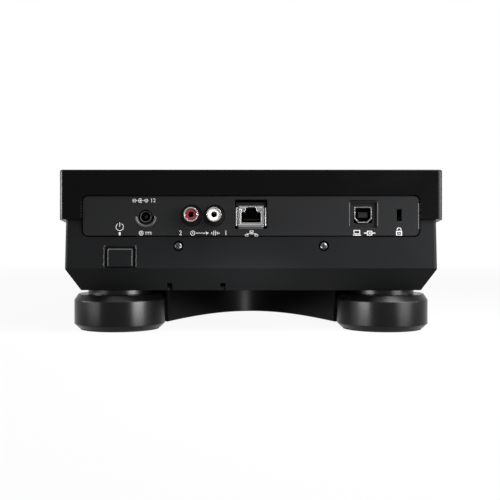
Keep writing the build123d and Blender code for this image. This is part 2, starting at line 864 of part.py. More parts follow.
# Connector panel
with BuildPart() as rear_panel:
    with BuildSketch(rear_face.offset(-panel_recess)):
        with Locations((0, panel_mid_z)):
            RectangleRounded(
                panel_width - 2 * board_gap,
                panel_height - 2 * board_gap,
                panel_corner - board_gap,
            )
    extrude(amount=-panel_thickness)
    flange_top = panel_bottom + panel_height + panel_flange
    with BuildSketch(rear_face.offset(-rim_wall)):
        with Locations((0, (panel_flange_bottom + flange_top) / 2)):
            Rectangle(panel_width + 2 * panel_flange, flange_top - panel_flange_bottom)
    extrude(amount=-panel_flange)
    with BuildSketch(tilted_rear_plane(jack_face, 0, 0, 0)):
        with Locations((dc_x, dc_y)):
            Circle(dc_barrel_radius + key_gap)
        with Locations(
            (audio_x - audio_pitch / 2, audio_y),
            (audio_x + audio_pitch / 2, audio_y),
        ):
            Circle(audio_base_radius + key_gap)
        with Locations((0, lan_cutout_rise)):
            Rectangle(lan_cutout_width, lan_cutout_height)
        with Locations((usb_b_x, usb_b_y)):
            Rectangle(usb_b_width + 2 * key_gap, usb_b_height + 2 * key_gap)
        with Locations((lock_x, lock_y)):
            Rectangle(lock_slot_width, lock_slot_height)
    extrude(amount=window_depth, both=True, mode=Mode.SUBTRACT)
    with BuildSketch(tilted_rear_plane(jack_face, dc_x, dc_y, -panel_recess)) as dish_mouth:
        Circle(dc_dish_radius)
    with BuildSketch(tilted_rear_plane(jack_face, dc_x, dc_y, -panel_recess - dc_dish_depth)) as dish_floor:
        Circle(dc_barrel_radius + key_gap)
    loft(mode=Mode.SUBTRACT)
    with BuildSketch(rear_face.offset(-panel_recess)):
        with Locations((usb_b_x, jack_height + usb_b_cutout_rise)):
            Rectangle(usb_b_cutout_width, usb_b_cutout_height)
    extrude(amount=-usb_b_pocket_depth, mode=Mode.SUBTRACT)
save(rear_panel, "rear_panel")

# DC inlet
with BuildPart() as dc_jack:
    body_front = -(panel_recess + panel_thickness + panel_flange + board_gap)
    with BuildSketch(tilted_rear_plane(jack_face, dc_x, 0, body_front)):
        with Locations((0, (dc_body_size / 2 - jack_board_drop) / 2)):
            Rectangle(dc_body_size, dc_body_size / 2 + jack_board_drop)
    extrude(amount=-jack_back)
    with BuildSketch(tilted_rear_plane(jack_face, dc_x, dc_y, body_front)):
        Circle(dc_barrel_radius)
    extrude(amount=-body_front - panel_recess - dc_dish_depth / 2)
    with BuildSketch(tilted_rear_plane(jack_face, dc_x, dc_y, 0)):
        Circle(dc_hole_radius)
    extrude(amount=-dc_hole_depth - panel_recess, mode=Mode.SUBTRACT)
    with BuildSketch(tilted_rear_plane(jack_face, dc_x, dc_y, -dc_hole_depth)):
        Circle(dc_pin_radius)
    extrude(amount=-dc_pin_radius - panel_recess, mode=Mode.SUBTRACT)
save(dc_jack, "dc_jack")

with BuildPart() as dc_pin:
    pin_root = -dc_hole_depth - panel_recess - dc_pin_radius / 2
    with BuildSketch(tilted_rear_plane(jack_face, dc_x, dc_y, pin_root)):
        Circle(dc_pin_radius)
    extrude(amount=dc_pin_length)
    chamfer(dc_pin.edges().group_by(Axis((0, 0, 0), jack_out))[-1], length=dc_pin_edge)
save(dc_pin, "dc_pin")

# Audio outputs: a block with two bases, metal sleeves and coloured insulators
audio_places = ((audio_x - audio_pitch / 2, audio_y), (audio_x + audio_pitch / 2, audio_y))
with BuildPart() as audio_jack_body:
    with BuildSketch(tilted_rear_plane(jack_face, audio_x, 0, body_front)):
        with Locations((0, (audio_body_height - 2 * jack_board_drop) / 2)):
            Rectangle(audio_pitch + 2 * audio_body_margin, audio_body_height)
    extrude(amount=-jack_back)
    with BuildSketch(jack_face.offset(body_front)):
        with Locations(*audio_places):
            Circle(audio_base_radius)
    extrude(amount=-body_front - panel_recess)
    with BuildSketch(jack_face.offset(-panel_recess)):
        with Locations(*audio_places):
            Circle(audio_sleeve_root_radius)
    extrude(amount=-audio_sleeve_root - panel_recess, mode=Mode.SUBTRACT)
save(audio_jack_body, "audio_jack_body")

sleeve_root_plane = jack_face.offset(-audio_sleeve_root - 2 * panel_recess)
with BuildPart() as audio_jack_sleeves:
    with BuildSketch(sleeve_root_plane):
        with Locations(*audio_places):
            Circle(audio_sleeve_root_radius)
    extrude(amount=audio_sleeve_root + panel_recess)
    with BuildSketch(jack_face.offset(-panel_recess)):
        with Locations(*audio_places):
            Circle(audio_sleeve_radius)
    extrude(amount=sleeve_reach + panel_recess)
    with BuildSketch(sleeve_root_plane):
        with Locations(*audio_places):
            Circle(audio_bore_radius)
    extrude(amount=audio_sleeve_root + 2 * panel_recess + sleeve_reach, mode=Mode.SUBTRACT)
save(audio_jack_sleeves, "audio_jack_sleeves")

for insulator_name, place in zip(("audio_insulator_red", "audio_insulator_white"), audio_places):
    with BuildPart() as insulator:
        with BuildSketch(sleeve_root_plane):
            with Locations(place):
                Circle(audio_bore_radius)
                Circle(audio_pin_hole_radius, mode=Mode.SUBTRACT)
        extrude(amount=audio_sleeve_root + 2 * panel_recess + sleeve_reach - audio_face_recess)
    save(insulator, insulator_name)

# Network jack: a folded shield with side springs round a black housing
lan_front = jack_face.offset(-lan_recess)
lan_back = jack_back + panel_thickness
housing_width = lan_width - 2 * lan_side_wall
housing_height = lan_height - lan_floor_wall - lan_top_wall
housing_y = (lan_floor_wall - lan_top_wall) / 2
with BuildPart() as lan_shield:
    with BuildSketch(lan_front):
        Rectangle(lan_width, lan_height)
        with Locations((0, housing_y)):
            Rectangle(housing_width, housing_height, mode=Mode.SUBTRACT)
    extrude(amount=-lan_back)
    with BuildSketch(lan_front.offset(-lan_leg_setback)):
        with Locations((0, -(lan_height / 2 + jack_board_drop) / 2)):
            Rectangle(lan_width, jack_board_drop - lan_height / 2)
    extrude(amount=lan_leg_setback - lan_back)
    for side in (-1, 1):
        with BuildSketch(jack_face.offset(-lan_recess)):
            with Locations((side * lan_spring_x, 0)):
                Rectangle(lan_spring_thickness, lan_spring_height)
        extrude(amount=-lan_spring_length)
        with BuildSketch(jack_face.offset(-lan_recess - lan_spring_length)):
            with Locations((side * (lan_width / 2 + lan_spring_x) / 2, 0)):
                Rectangle(lan_spring_x - lan_width / 2 + lan_spring_thickness, lan_spring_height)
        extrude(amount=lan_spring_root)
save(lan_shield, "lan_shield")

with BuildPart() as lan_insert:
    with BuildSketch(lan_front.offset(-lan_insert_recess)):
        with Locations((0, housing_y)):
            Rectangle(housing_width, housing_height)
    extrude(amount=lan_insert_recess - lan_back)
    with BuildSketch(lan_front):
        with Locations((0, (lan_cavity_top + lan_cavity_bottom) / 2)):
            Rectangle(lan_cavity_width, lan_cavity_top - lan_cavity_bottom)
        with Locations((0, lan_step_top / 2)):
            Rectangle(2 * lan_step_half_width, lan_step_top)
        with Locations((0, lan_latch_top / 2)):
            Rectangle(2 * lan_latch_half_width, lan_latch_top)
    extrude(amount=-lan_cavity_depth, mode=Mode.SUBTRACT)
    with BuildSketch(jack_face.offset(-lan_recess - lan_cavity_depth)):
        with Locations((0, lan_cavity_bottom + key_gap)):
            with GridLocations(lan_cavity_width / (lan_contact_count + 1), 1, lan_contact_count, 1):
                Rectangle(2 * key_gap, 2 * key_gap)
    extrude(amount=lan_cavity_depth / 2)
save(lan_insert, "lan_insert")


def usb_b_outline(inset: float) -> None:
    """Draw the square USB jack's outline with bevelled lower corners, shrunk by inset."""
    half_width = usb_b_width / 2 - inset
    half_height = usb_b_height / 2 - inset
    with BuildLine() as edge_line:
        Polyline(
            (-half_width, half_height),
            (half_width, half_height),
            (half_width, -half_height + usb_b_bevel),
            (half_width - usb_b_bevel, -half_height),
            (-half_width + usb_b_bevel, -half_height),
            (-half_width, -half_height + usb_b_bevel),
            close=True,
        )
    make_face(edge_line.edges())


# Square USB jack: a thin shield round an insert with a tongue
with BuildPart() as usb_b_shield:
    with BuildSketch(tilted_rear_plane(jack_face, usb_b_x, usb_b_y, -usb_b_recess)):
        usb_b_outline(0)
    extrude(amount=-jack_back)
    with BuildSketch(tilted_rear_plane(jack_face, usb_b_x, usb_b_y, -usb_b_recess)):
        usb_b_outline(usb_b_wall)
    extrude(amount=-jack_back, mode=Mode.SUBTRACT)
save(usb_b_shield, "usb_b_shield")

with BuildPart() as usb_b_insert:
    with BuildSketch(tilted_rear_plane(jack_face, usb_b_x, usb_b_y, -usb_b_recess - usb_b_cavity_depth)):
        usb_b_outline(usb_b_wall)
    extrude(amount=-(jack_back - usb_b_cavity_depth))
    with BuildSketch(tilted_rear_plane(jack_face, usb_b_x, usb_b_y, -usb_b_recess - usb_b_cavity_depth)):
        Rectangle(usb_b_tongue_width, usb_b_tongue_height)
    extrude(amount=usb_b_cavity_depth - usb_b_recess)
    leg_height = jack_board_drop + usb_b_y - usb_b_height / 2
    leg_plane = tilted_rear_plane(jack_face, usb_b_x, 0, -usb_b_recess - usb_b_cavity_depth)
    with BuildSketch(leg_plane):
        with Locations((0, leg_height / 2 - jack_board_drop)):
            Rectangle(usb_b_width - 2 * usb_b_bevel, leg_height)
    extrude(amount=-(jack_back - usb_b_cavity_depth))
    with BuildSketch(leg_plane.offset(-(jack_back - usb_b_cavity_depth))):
        with Locations((0, leg_height - jack_board_drop)):
            Rectangle(usb_b_width - 2 * usb_b_bevel, 2 * leg_height)
    extrude(amount=-usb_b_wall)
save(usb_b_insert, "usb_b_insert")

# Power button in the lower case's rear wall, and its switch
power_stem_end = power_switch_front + power_plunger_length + power_travel + stop_gap
with BuildPart() as power_button:
    with BuildSketch(tilted_rear_plane(lower_rear, power_x, -power_drop, key_gap)):
        RectangleRounded(power_width, power_height, power_corner)
    extrude(amount=-(key_gap + lower_wall + stop_gap + key_flange))
    chamfer(power_button.faces().sort_by(Axis((0, 0, 0), jack_out))[-1].edges(), length=key_edge)
    with BuildSketch(tilted_rear_plane(lower_rear, power_x, -power_drop, -lower_wall - stop_gap)):
        RectangleRounded(power_width + 2 * key_flange, power_height - 2 * key_flange, power_corner)
    extrude(amount=-key_flange)
    with BuildSketch(tilted_rear_plane(lower_rear, power_x, -power_drop, power_stem_end)):
        Circle(stem_radius)
    extrude(amount=-power_stem_end - lower_wall - stop_gap)
save(power_button, "power_button")

with BuildPart() as power_switch:
    with BuildSketch(tilted_rear_plane(lower_rear, power_x, -power_drop, power_switch_front)):
        Rectangle(power_switch_size, power_switch_size)
    extrude(amount=-power_switch_size)
    with BuildSketch(tilted_rear_plane(lower_rear, power_x, -power_drop, power_switch_front)):
        Circle(power_plunger_radius)
    extrude(amount=power_plunger_length)
save(power_switch, "power_switch")

# Jack board on its bracket, which the two rear screws hold to the lower case
board_top = jack_face.from_local_coords((0, -jack_board_drop, 0))
jack_board_plane = Plane(origin=board_top, x_dir=(1, 0, 0), z_dir=deck_up)
board_rear = -(panel_recess + panel_thickness + panel_flange + board_gap)
with BuildPart() as jack_board:
    with BuildSketch(jack_board_plane):
        with Locations((0, board_rear - jack_board_depth / 2)):
            Rectangle(jack_board_length, jack_board_depth)
    extrude(amount=-board_thickness)
save(jack_board, "jack_board")

with BuildPart() as jack_bracket:
    with BuildSketch(jack_board_plane.offset(-board_thickness)):
        with Locations((0, board_rear - jack_board_depth / 2)):
            Rectangle(bracket_length, jack_board_depth)
    extrude(amount=-bracket_thickness)
    shelf_top = lower_rear.to_local_coords(board_top).Y - board_thickness
    plate_height = bracket_plate_drop + shelf_top
    with BuildSketch(lower_rear.offset(-lower_wall)):
        with Locations((0, shelf_top - plate_height / 2)):
            Rectangle(bracket_length, plate_height)
    extrude(amount=-bracket_thickness)
    with BuildSketch(lower_rear.offset(-lower_wall)):
        with Locations((0, shelf_top - bracket_thickness / 2)):
            Rectangle(bracket_length, bracket_thickness)
    extrude(amount=board_rear)
    with BuildSketch(lower_rear):
        with Locations((-rear_screw_x, -rear_screw_drop), (rear_screw_x, -rear_screw_drop)):
            Circle(screw_hole_radius)
    extrude(amount=-2 * lower_wall, mode=Mode.SUBTRACT)
save(jack_bracket, "jack_bracket")

with BuildPart() as rear_screws:
    for side in (-1, 1):
        screw_down(
            tilted_rear_plane(lower_rear, side * rear_screw_x, -rear_screw_drop, -rear_screw_sink),
            screw_grip,
        )
save(rear_screws, "rear_screws")

# Main board on four posts of the lower case
with BuildPart() as main_board:
    with BuildSketch(Plane.XY.offset(main_board_height)):
        with Locations((0, mid_y)):
            Rectangle(main_board_length, main_board_depth)
        with Locations(*main_post_places):
            Circle(screw_hole_radius, mode=Mode.SUBTRACT)
        with Locations(*tray_boss_places):
            Circle(post_radius + board_gap, mode=Mode.SUBTRACT)
        with Locations(*[(top.X, top.Y) for top in post_tops]):
            Circle(2 * post_radius, mode=Mode.SUBTRACT)
    extrude(amount=board_thickness)
save(main_board, "main_board")

# Board under the deck, with one switch below each key
with BuildPart() as panel_board:
    board_mid_v = (panel_board_front_v + panel_board_rear_v) / 2
    arm_mid_u = (panel_board_arm_u + panel_board_half_width) / 2
    arm_mid_v = (panel_board_rear_v + panel_board_arm_v) / 2
    with BuildSketch(deck.offset(-panel_board_depth)):
        with Locations((0, board_mid_v)):
            Rectangle(2 * panel_board_half_width, panel_board_rear_v - panel_board_front_v)
        with Locations((arm_mid_u, arm_mid_v)):
            Rectangle(panel_board_half_width - panel_board_arm_u, panel_board_arm_v - panel_board_rear_v)
        with Locations((jog_u, jog_v)):
            Circle(jog_radius + jog_gap + support_flange_width + board_gap, mode=Mode.SUBTRACT)
        with Locations((fader_u, fader_v)):
            fader_room = 2 * fader_travel + fader_carriage_length + 2 * fader_end_room + 2 * fader_body_wall
            Rectangle(fader_body_width + 2 * board_gap, fader_room + 2 * board_gap, mode=Mode.SUBTRACT)
        with Locations(*case_post_places):
            Circle(post_radius + board_gap, mode=Mode.SUBTRACT)
        with Locations(*board_boss_places):
            Circle(screw_hole_radius, mode=Mode.SUBTRACT)
    extrude(amount=-board_thickness)
save(panel_board, "panel_board")

with BuildPart() as key_switches:
    for key in keys:
        with BuildSketch(deck_plane(key.u, key.v, -panel_board_depth)):
            Rectangle(switch_size, switch_size)
        extrude(amount=switch_height)
        with BuildSketch(deck_plane(key.u, key.v, -panel_board_depth + switch_height)):
            Circle(switch_plunger_radius)
        extrude(amount=switch_plunger_height)
save(key_switches, "key_switches")

with BuildPart() as board_screws:
    for u, v in board_boss_places:
        seat = deck_plane(u, v, -panel_board_depth - board_thickness)
        screw_down(Plane(origin=seat.origin, x_dir=(1, 0, 0), z_dir=-deck_up), screw_grip)
    for x, y in main_post_places:
        seat = Plane.XY.offset(main_board_height + board_thickness)
        screw_down(Plane(origin=(x, y, seat.origin.Z), x_dir=(1, 0, 0), z_dir=(0, 0, 1)), screw_grip)
save(board_screws, "board_screws")

# Keys
key_stem_end = -panel_board_depth + switch_height + switch_plunger_height + key_travel + stop_gap
for key in keys:
    with BuildPart() as push_key:
        with BuildSketch(deck_plane(key.u, key.v, key.rise)):
            outline(key.length, key.width, key.corner)
        extrude(amount=-key.rise - key_room)
        fillet(push_key.faces().sort_by(Axis((0, 0, 0), deck_up))[-1].edges(), radius=key_edge)
        with BuildSketch(deck_plane(key.u, key.v, -deck_skin - stop_gap)):
            outline(key.length + 2 * key_flange, key.width + 2 * key_flange, key.corner + key_flange)
        extrude(amount=-key_flange)
        with BuildSketch(deck_plane(key.u, key.v, key_stem_end)):
            Circle(stem_radius)
        extrude(amount=-key_room - key_stem_end)
    save(push_key, key.name)

# Jog wheel: support, spindle, wheel, sprung plate and cap
support_radius = jog_radius + jog_gap + support_flange_width
with BuildPart() as jog_support:
    with BuildSketch(deck_plane(jog_u, jog_v, -deck_skin)):
        Circle(support_radius)
    extrude(amount=-support_thickness)
    with BuildSketch(deck_plane(jog_u, jog_v, -deck_skin)):
        Circle(jog_radius + jog_gap + support_thickness)
    extrude(amount=deck_skin - support_floor_depth - support_thickness)
    with BuildSketch(deck_plane(jog_u, jog_v, -deck_skin)):
        Circle(jog_radius + jog_gap)
    extrude(amount=deck_skin - support_floor_depth, mode=Mode.SUBTRACT)
    with BuildSketch(deck_plane(jog_u, jog_v, -support_floor_depth)):
        Circle(support_boss_radius)
    extrude(amount=support_floor_depth - support_boss_top)
    with BuildSketch(deck_plane(jog_u, jog_v, -support_boss_top)):
        Circle(spindle_radius)
    extrude(amount=-support_floor_depth, mode=Mode.SUBTRACT)
save(jog_support, "jog_support")

with BuildPart() as jog_spindle:
    with BuildSketch(deck_plane(jog_u, jog_v, -support_floor_depth - support_thickness)):
        Circle(spindle_radius)
    extrude(amount=support_floor_depth + support_thickness + jog_hub_top + stop_gap)
    with BuildSketch(deck_plane(jog_u, jog_v, jog_hub_top + stop_gap)):
        Circle(spindle_head_radius)
    extrude(amount=spindle_head_height)
save(jog_spindle, "jog_spindle")

with BuildPart() as jog_wheel:
    with BuildSketch(deck_plane(jog_u, jog_v, -jog_sink)):
        Circle(jog_radius)
        Circle(jog_radius - jog_ring_width, mode=Mode.SUBTRACT)
    extrude(amount=jog_sink + jog_rise)
    top_ring = jog_wheel.faces().sort_by(Axis((0, 0, 0), deck_up))[-1]
    chamfer(top_ring.edges().sort_by(SortBy.LENGTH)[-1], length=jog_edge)
    dimple_lift = jog_rise + jog_dimple_radius - jog_dimple_depth
    with Locations(deck_plane(jog_u, jog_v, dimple_lift).location):
        with PolarLocations(jog_radius - jog_ring_width / 2, jog_dimple_count):
            Sphere(jog_dimple_radius, mode=Mode.SUBTRACT)
    with BuildSketch(deck_plane(jog_u, jog_v, jog_web_bottom)):
        Circle(jog_radius - jog_ring_width)
    extrude(amount=jog_web_top - jog_web_bottom)
    with BuildSketch(deck_plane(jog_u, jog_v, -support_boss_top + stop_gap)):
        Circle(jog_hub_radius)
    extrude(amount=support_boss_top - stop_gap + jog_hub_top)
    with BuildSketch(deck_plane(jog_u, jog_v, -support_boss_top)):
        Circle(spindle_radius + spindle_clearance)
    extrude(amount=support_boss_top + jog_hub_top, mode=Mode.SUBTRACT)
save(jog_wheel, "jog_wheel")

plate_bottom = jog_rise + jog_plate_lift
with BuildPart() as jog_plate:
    with BuildSketch(deck_plane(jog_u, jog_v, plate_bottom)):
        Circle(jog_plate_radius)
    extrude(amount=jog_plate_thickness)
    plate_rim = jog_plate.faces().sort_by(Axis((0, 0, 0), deck_up))[-1].edges()
    fillet(plate_rim, radius=jog_plate_edge)
    with BuildSketch(deck_plane(jog_u, jog_v, jog_web_top + jog_plate_travel + stop_gap)):
        Circle(jog_skirt_radius)
        Circle(jog_skirt_radius - jog_skirt_width, mode=Mode.SUBTRACT)
    extrude(amount=plate_bottom - jog_web_top - jog_plate_travel - stop_gap)
save(jog_plate, "jog_plate")

with BuildPart() as jog_cap:
    with BuildSketch(deck_plane(jog_u, jog_v, plate_bottom + jog_plate_thickness)):
        Circle(jog_cap_radius)
    extrude(amount=jog_cap_height)
    cap_rim = jog_cap.faces().sort_by(Axis((0, 0, 0), deck_up))[-1].edges()
    fillet(cap_rim, radius=jog_cap_height / 2)
save(jog_cap, "jog_cap")

# Tempo fader: body under the deck, carriage with its blade, and the cap
with BuildPart() as tempo_fader_body:
    with BuildSketch(deck_plane(fader_u, fader_v, -deck_skin)):
        Rectangle(fader_body_width, fader_room)
    extrude(amount=-fader_body_depth)
    with BuildSketch(deck_plane(fader_u, fader_v, -deck_skin - fader_body_wall)):
        Rectangle(fader_body_width - 2 * fader_body_wall, fader_room - 2 * fader_body_wall)
    extrude(amount=2 * fader_body_wall - fader_body_depth, mode=Mode.SUBTRACT)
    with BuildSketch(deck_plane(fader_u, fader_v, -deck_skin)):
        SlotOverall(2 * fader_travel + fader_stem_length + fader_end_room, fader_slot_width, rotation=90)
    extrude(amount=-fader_body_wall, mode=Mode.SUBTRACT)
save(tempo_fader_body, "tempo_fader_body")

carriage_top = -deck_skin - fader_body_wall - fader_carriage_gap
carriage_height = fader_body_depth - 2 * fader_body_wall - 2 * fader_carriage_gap
with BuildPart() as tempo_fader_stem:
    with BuildSketch(deck_plane(fader_u, fader_v, carriage_top)):
        Rectangle(fader_body_width - 2 * fader_body_wall - 2 * fader_carriage_gap, fader_carriage_length)
    extrude(amount=-carriage_height)
    with BuildSketch(deck_plane(fader_u, fader_v, carriage_top)):
        Rectangle(fader_stem_width, fader_stem_length)
    extrude(amount=fader_cap_lift + fader_stem_sink - carriage_top)
save(tempo_fader_stem, "tempo_fader_stem")

with BuildPart() as tempo_fader_cap:
    with BuildSketch(deck_plane(fader_u, fader_v, fader_cap_lift)):
        Rectangle(fader_cap_width, fader_cap_length)
    extrude(amount=fader_cap_height)
    cap_top = tempo_fader_cap.faces().sort_by(Axis((0, 0, 0), deck_up))[-1]
    chamfer(cap_top.edges(), length=fader_cap_edge)
    groove_plane = Plane(
        origin=deck.from_local_coords((fader_u, fader_v, fader_cap_lift + fader_cap_height)),
        x_dir=deck.y_dir,
        z_dir=(1, 0, 0),
    )
    with BuildSketch(groove_plane):
        with Locations((0, 0)):
            Circle(fader_groove)
        with Locations((fader_groove_pitch, 0), (-fader_groove_pitch, 0)):
            Circle(fader_groove)
    extrude(amount=fader_cap_width, both=True, mode=Mode.SUBTRACT)
    with BuildSketch(deck_plane(fader_u, fader_v, fader_cap_lift)):
        Rectangle(fader_stem_width, fader_stem_length)
    extrude(amount=fader_stem_sink, mode=Mode.SUBTRACT)
save(tempo_fader_cap, "tempo_fader_cap")

# Selector: encoder on the board, a plunger that is pushed, and the knob that turns on it
encoder_top = -panel_board_depth + selector_body_height
shaft_top = selector_lift + selector_height - selector_shaft_end_gap
with BuildPart() as selector_encoder:
    with BuildSketch(deck_plane(selector_u, selector_v, -panel_board_depth)):
        Rectangle(selector_body_size, selector_body_size)
    extrude(amount=selector_body_height)
    with BuildSketch(deck_plane(selector_u, selector_v, encoder_top)):
        Circle(selector_bushing_radius)
    extrude(amount=-encoder_top - selector_bushing_gap)
    with BuildSketch(deck_plane(selector_u, selector_v, 0)):
        Circle(selector_shaft_radius + spindle_clearance)
    extrude(amount=-selector_shaft_bottom - selector_travel - stop_gap, mode=Mode.SUBTRACT)
save(selector_encoder, "selector_encoder")

with BuildPart() as selector_shaft:
    with BuildSketch(deck_plane(selector_u, selector_v, -selector_shaft_bottom)):
        Circle(selector_shaft_radius)
    extrude(amount=selector_shaft_bottom + shaft_top)
save(selector_shaft, "selector_shaft")

with BuildPart() as selector_knob:
    with BuildSketch(deck_plane(selector_u, selector_v, selector_lift)):
        Circle(selector_radius)
        with PolarLocations(selector_radius, knurl_count):
            Circle(knurl_radius, mode=Mode.SUBTRACT)
    extrude(amount=selector_height - selector_edge)
    with BuildSketch(deck_plane(selector_u, selector_v, selector_lift + selector_height - selector_edge)):
        Circle(selector_radius - knurl_radius)
    extrude(amount=selector_edge)
    knob_top = selector_knob.faces().sort_by(Axis((0, 0, 0), deck_up))[-1]
    chamfer(knob_top.edges(), length=selector_edge / 2)
    with BuildSketch(deck_plane(selector_u, selector_v, selector_lift)):
        Circle(selector_shaft_radius + spindle_clearance)
    extrude(amount=shaft_top - selector_lift + stop_gap, mode=Mode.SUBTRACT)
save(selector_knob, "selector_knob")

# Display: glass in its recess, module below it
with BuildPart() as display_glass:
    with BuildSketch(deck_plane(display_u, display_v, -display_recess)):
        RectangleRounded(
            display_length - 2 * display_gap,
            display_width - 2 * display_gap,
            display_corner - display_gap,
        )
    extrude(amount=display_recess)
save(display_glass, "display_glass")

with BuildPart() as display_module:
    window_length = display_length - 2 * display_ledge
    window_width = display_width - 2 * display_ledge
    with BuildSketch(deck_plane(display_u, display_v, -display_recess)):
        Rectangle(window_length - 2 * display_gap, window_width - 2 * display_gap)
    extrude(amount=display_recess - deck_skin)
    with BuildSketch(deck_plane(display_u, display_v, -deck_skin)):
        Rectangle(window_length + 2 * module_margin, window_width + 2 * module_margin)
    extrude(amount=-module_depth)
save(display_module, "display_module")

# Socket for memory sticks, hung under the deck
with BuildPart() as stick_socket:
    with BuildSketch(deck_plane(stick_u, stick_v, -deck_skin)):
        Rectangle(stick_hole_length + 2 * stick_shell_wall, stick_hole_width + 2 * stick_shell_wall)
    extrude(amount=-stick_depth - stick_shell_wall)
    with BuildSketch(deck_plane(stick_u, stick_v, -deck_skin)):
        Rectangle(stick_hole_length, stick_hole_width)
    extrude(amount=-stick_depth, mode=Mode.SUBTRACT)
    with BuildSketch(deck_plane(stick_u, stick_v, -deck_skin - stick_depth)):
        with Locations((0, stick_hole_width / 2 - stick_tongue_width / 2)):
            Rectangle(stick_tongue_length, stick_tongue_width)
    extrude(amount=stick_depth - stick_shell_wall)
save(stick_socket, "stick_socket")
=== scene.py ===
import logging
from contextlib import contextmanager
from dataclasses import dataclass, field
from enum import Enum
from functools import cache
from math import atan2, cos, degrees, radians, sin, tan
from typing import Iterator, Self

import bpy
from mathutils import Matrix, Vector


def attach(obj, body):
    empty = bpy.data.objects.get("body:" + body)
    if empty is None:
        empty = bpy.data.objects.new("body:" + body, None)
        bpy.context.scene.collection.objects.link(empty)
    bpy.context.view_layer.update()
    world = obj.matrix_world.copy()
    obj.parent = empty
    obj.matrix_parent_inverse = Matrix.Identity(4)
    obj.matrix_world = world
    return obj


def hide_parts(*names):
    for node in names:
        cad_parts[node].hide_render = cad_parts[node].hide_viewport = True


log = logging.getLogger("media_player")

MM = 0.001
VARIATION = 0.12
SMUDGE_SCALE = 28.0
SMUDGE_GLOSS = 0.35
BUMP_STRENGTH = 0.5
EDGE_LIFT = 0.01
TEXT_SIZE = 1.4
WHITE = (1.0, 1.0, 1.0, 1.0)
Colour = tuple[float, float, float]
Place = tuple[float, float]
Stroke = tuple[str | float, ...]
Piece = bpy.types.Object
Tree = bpy.types.NodeTree
Socket = bpy.types.NodeSocket
Value = float | int | tuple | Socket
Inputs = dict[str | int, Value]


@dataclass(frozen=True)
class Layout:
    """Sizes of the frame that the dressing is set out from, in millimetres."""

    deck_tilt: float = 5.5
    rear_y: float = 143.25
    mid_y: float = -2.75
    rear_height: float = 95.1
    half_depth: float = 146.0
    panel_recess: float = 0.5
    jack_height: float = 68.0
    seam_height: float = 66.3
    lower_inset: float = 1.6

    @property
    def tilt(self) -> float:
        """Return the deck's slope in radians."""
        return radians(self.deck_tilt)

    @property
    def mid_z(self) -> float:
        """Return the deck's height over the middle of the case."""
        return self.rear_height - self.half_depth * tan(self.tilt)

    @property
    def rear_out(self) -> tuple[float, float, float]:
        """Return the direction that the leaning rear walls face."""
        return (0.0, cos(self.tilt), sin(self.tilt))


LAYOUT = Layout()


@dataclass(frozen=True)
class WorkPlane:
    """A plane that flat work is laid on, with its own x to the right and its z outwards.

    Args:
        origin: the plane's zero, in millimetres.
        z_dir: the direction that the plane faces.
        x_dir: the direction of the plane's x, which is to the right as seen from behind by default.
    """

    origin: tuple[float, float, float]
    z_dir: tuple[float, float, float]
    x_dir: tuple[float, float, float] = (-1.0, 0.0, 0.0)

    def matrix(self, x: float = 0.0, y: float = 0.0, rise: float = 0.0) -> Matrix:
        """Return the matrix that takes plane places to the frame.

        Args:
            x: place along the plane's x, in millimetres.
            y: place along the plane's y, in millimetres.
            rise: height above the plane, in millimetres.

        Returns:
            The matrix, in metres.
        """
        across, out = Vector(self.x_dir), Vector(self.z_dir)
        up = out.cross(across)
        turn = Matrix((across, up, out)).transposed().to_4x4()
        place = Vector(self.origin) + across * x + up * y + out * rise
        return Matrix.Translation(place * MM) @ turn


DECK = WorkPlane(
    (0.0, LAYOUT.mid_y, LAYOUT.mid_z), (0.0, -sin(LAYOUT.tilt), cos(LAYOUT.tilt)), (1.0, 0.0, 0.0)
)
PANEL = WorkPlane((0.0, LAYOUT.rear_y - LAYOUT.panel_recess, 0.0), (0.0, 1.0, 0.0))
LOWER_REAR = WorkPlane((0.0, LAYOUT.rear_y - LAYOUT.lower_inset, LAYOUT.seam_height), LAYOUT.rear_out)
JACKS = WorkPlane((0.0, LAYOUT.rear_y, LAYOUT.jack_height), LAYOUT.rear_out)


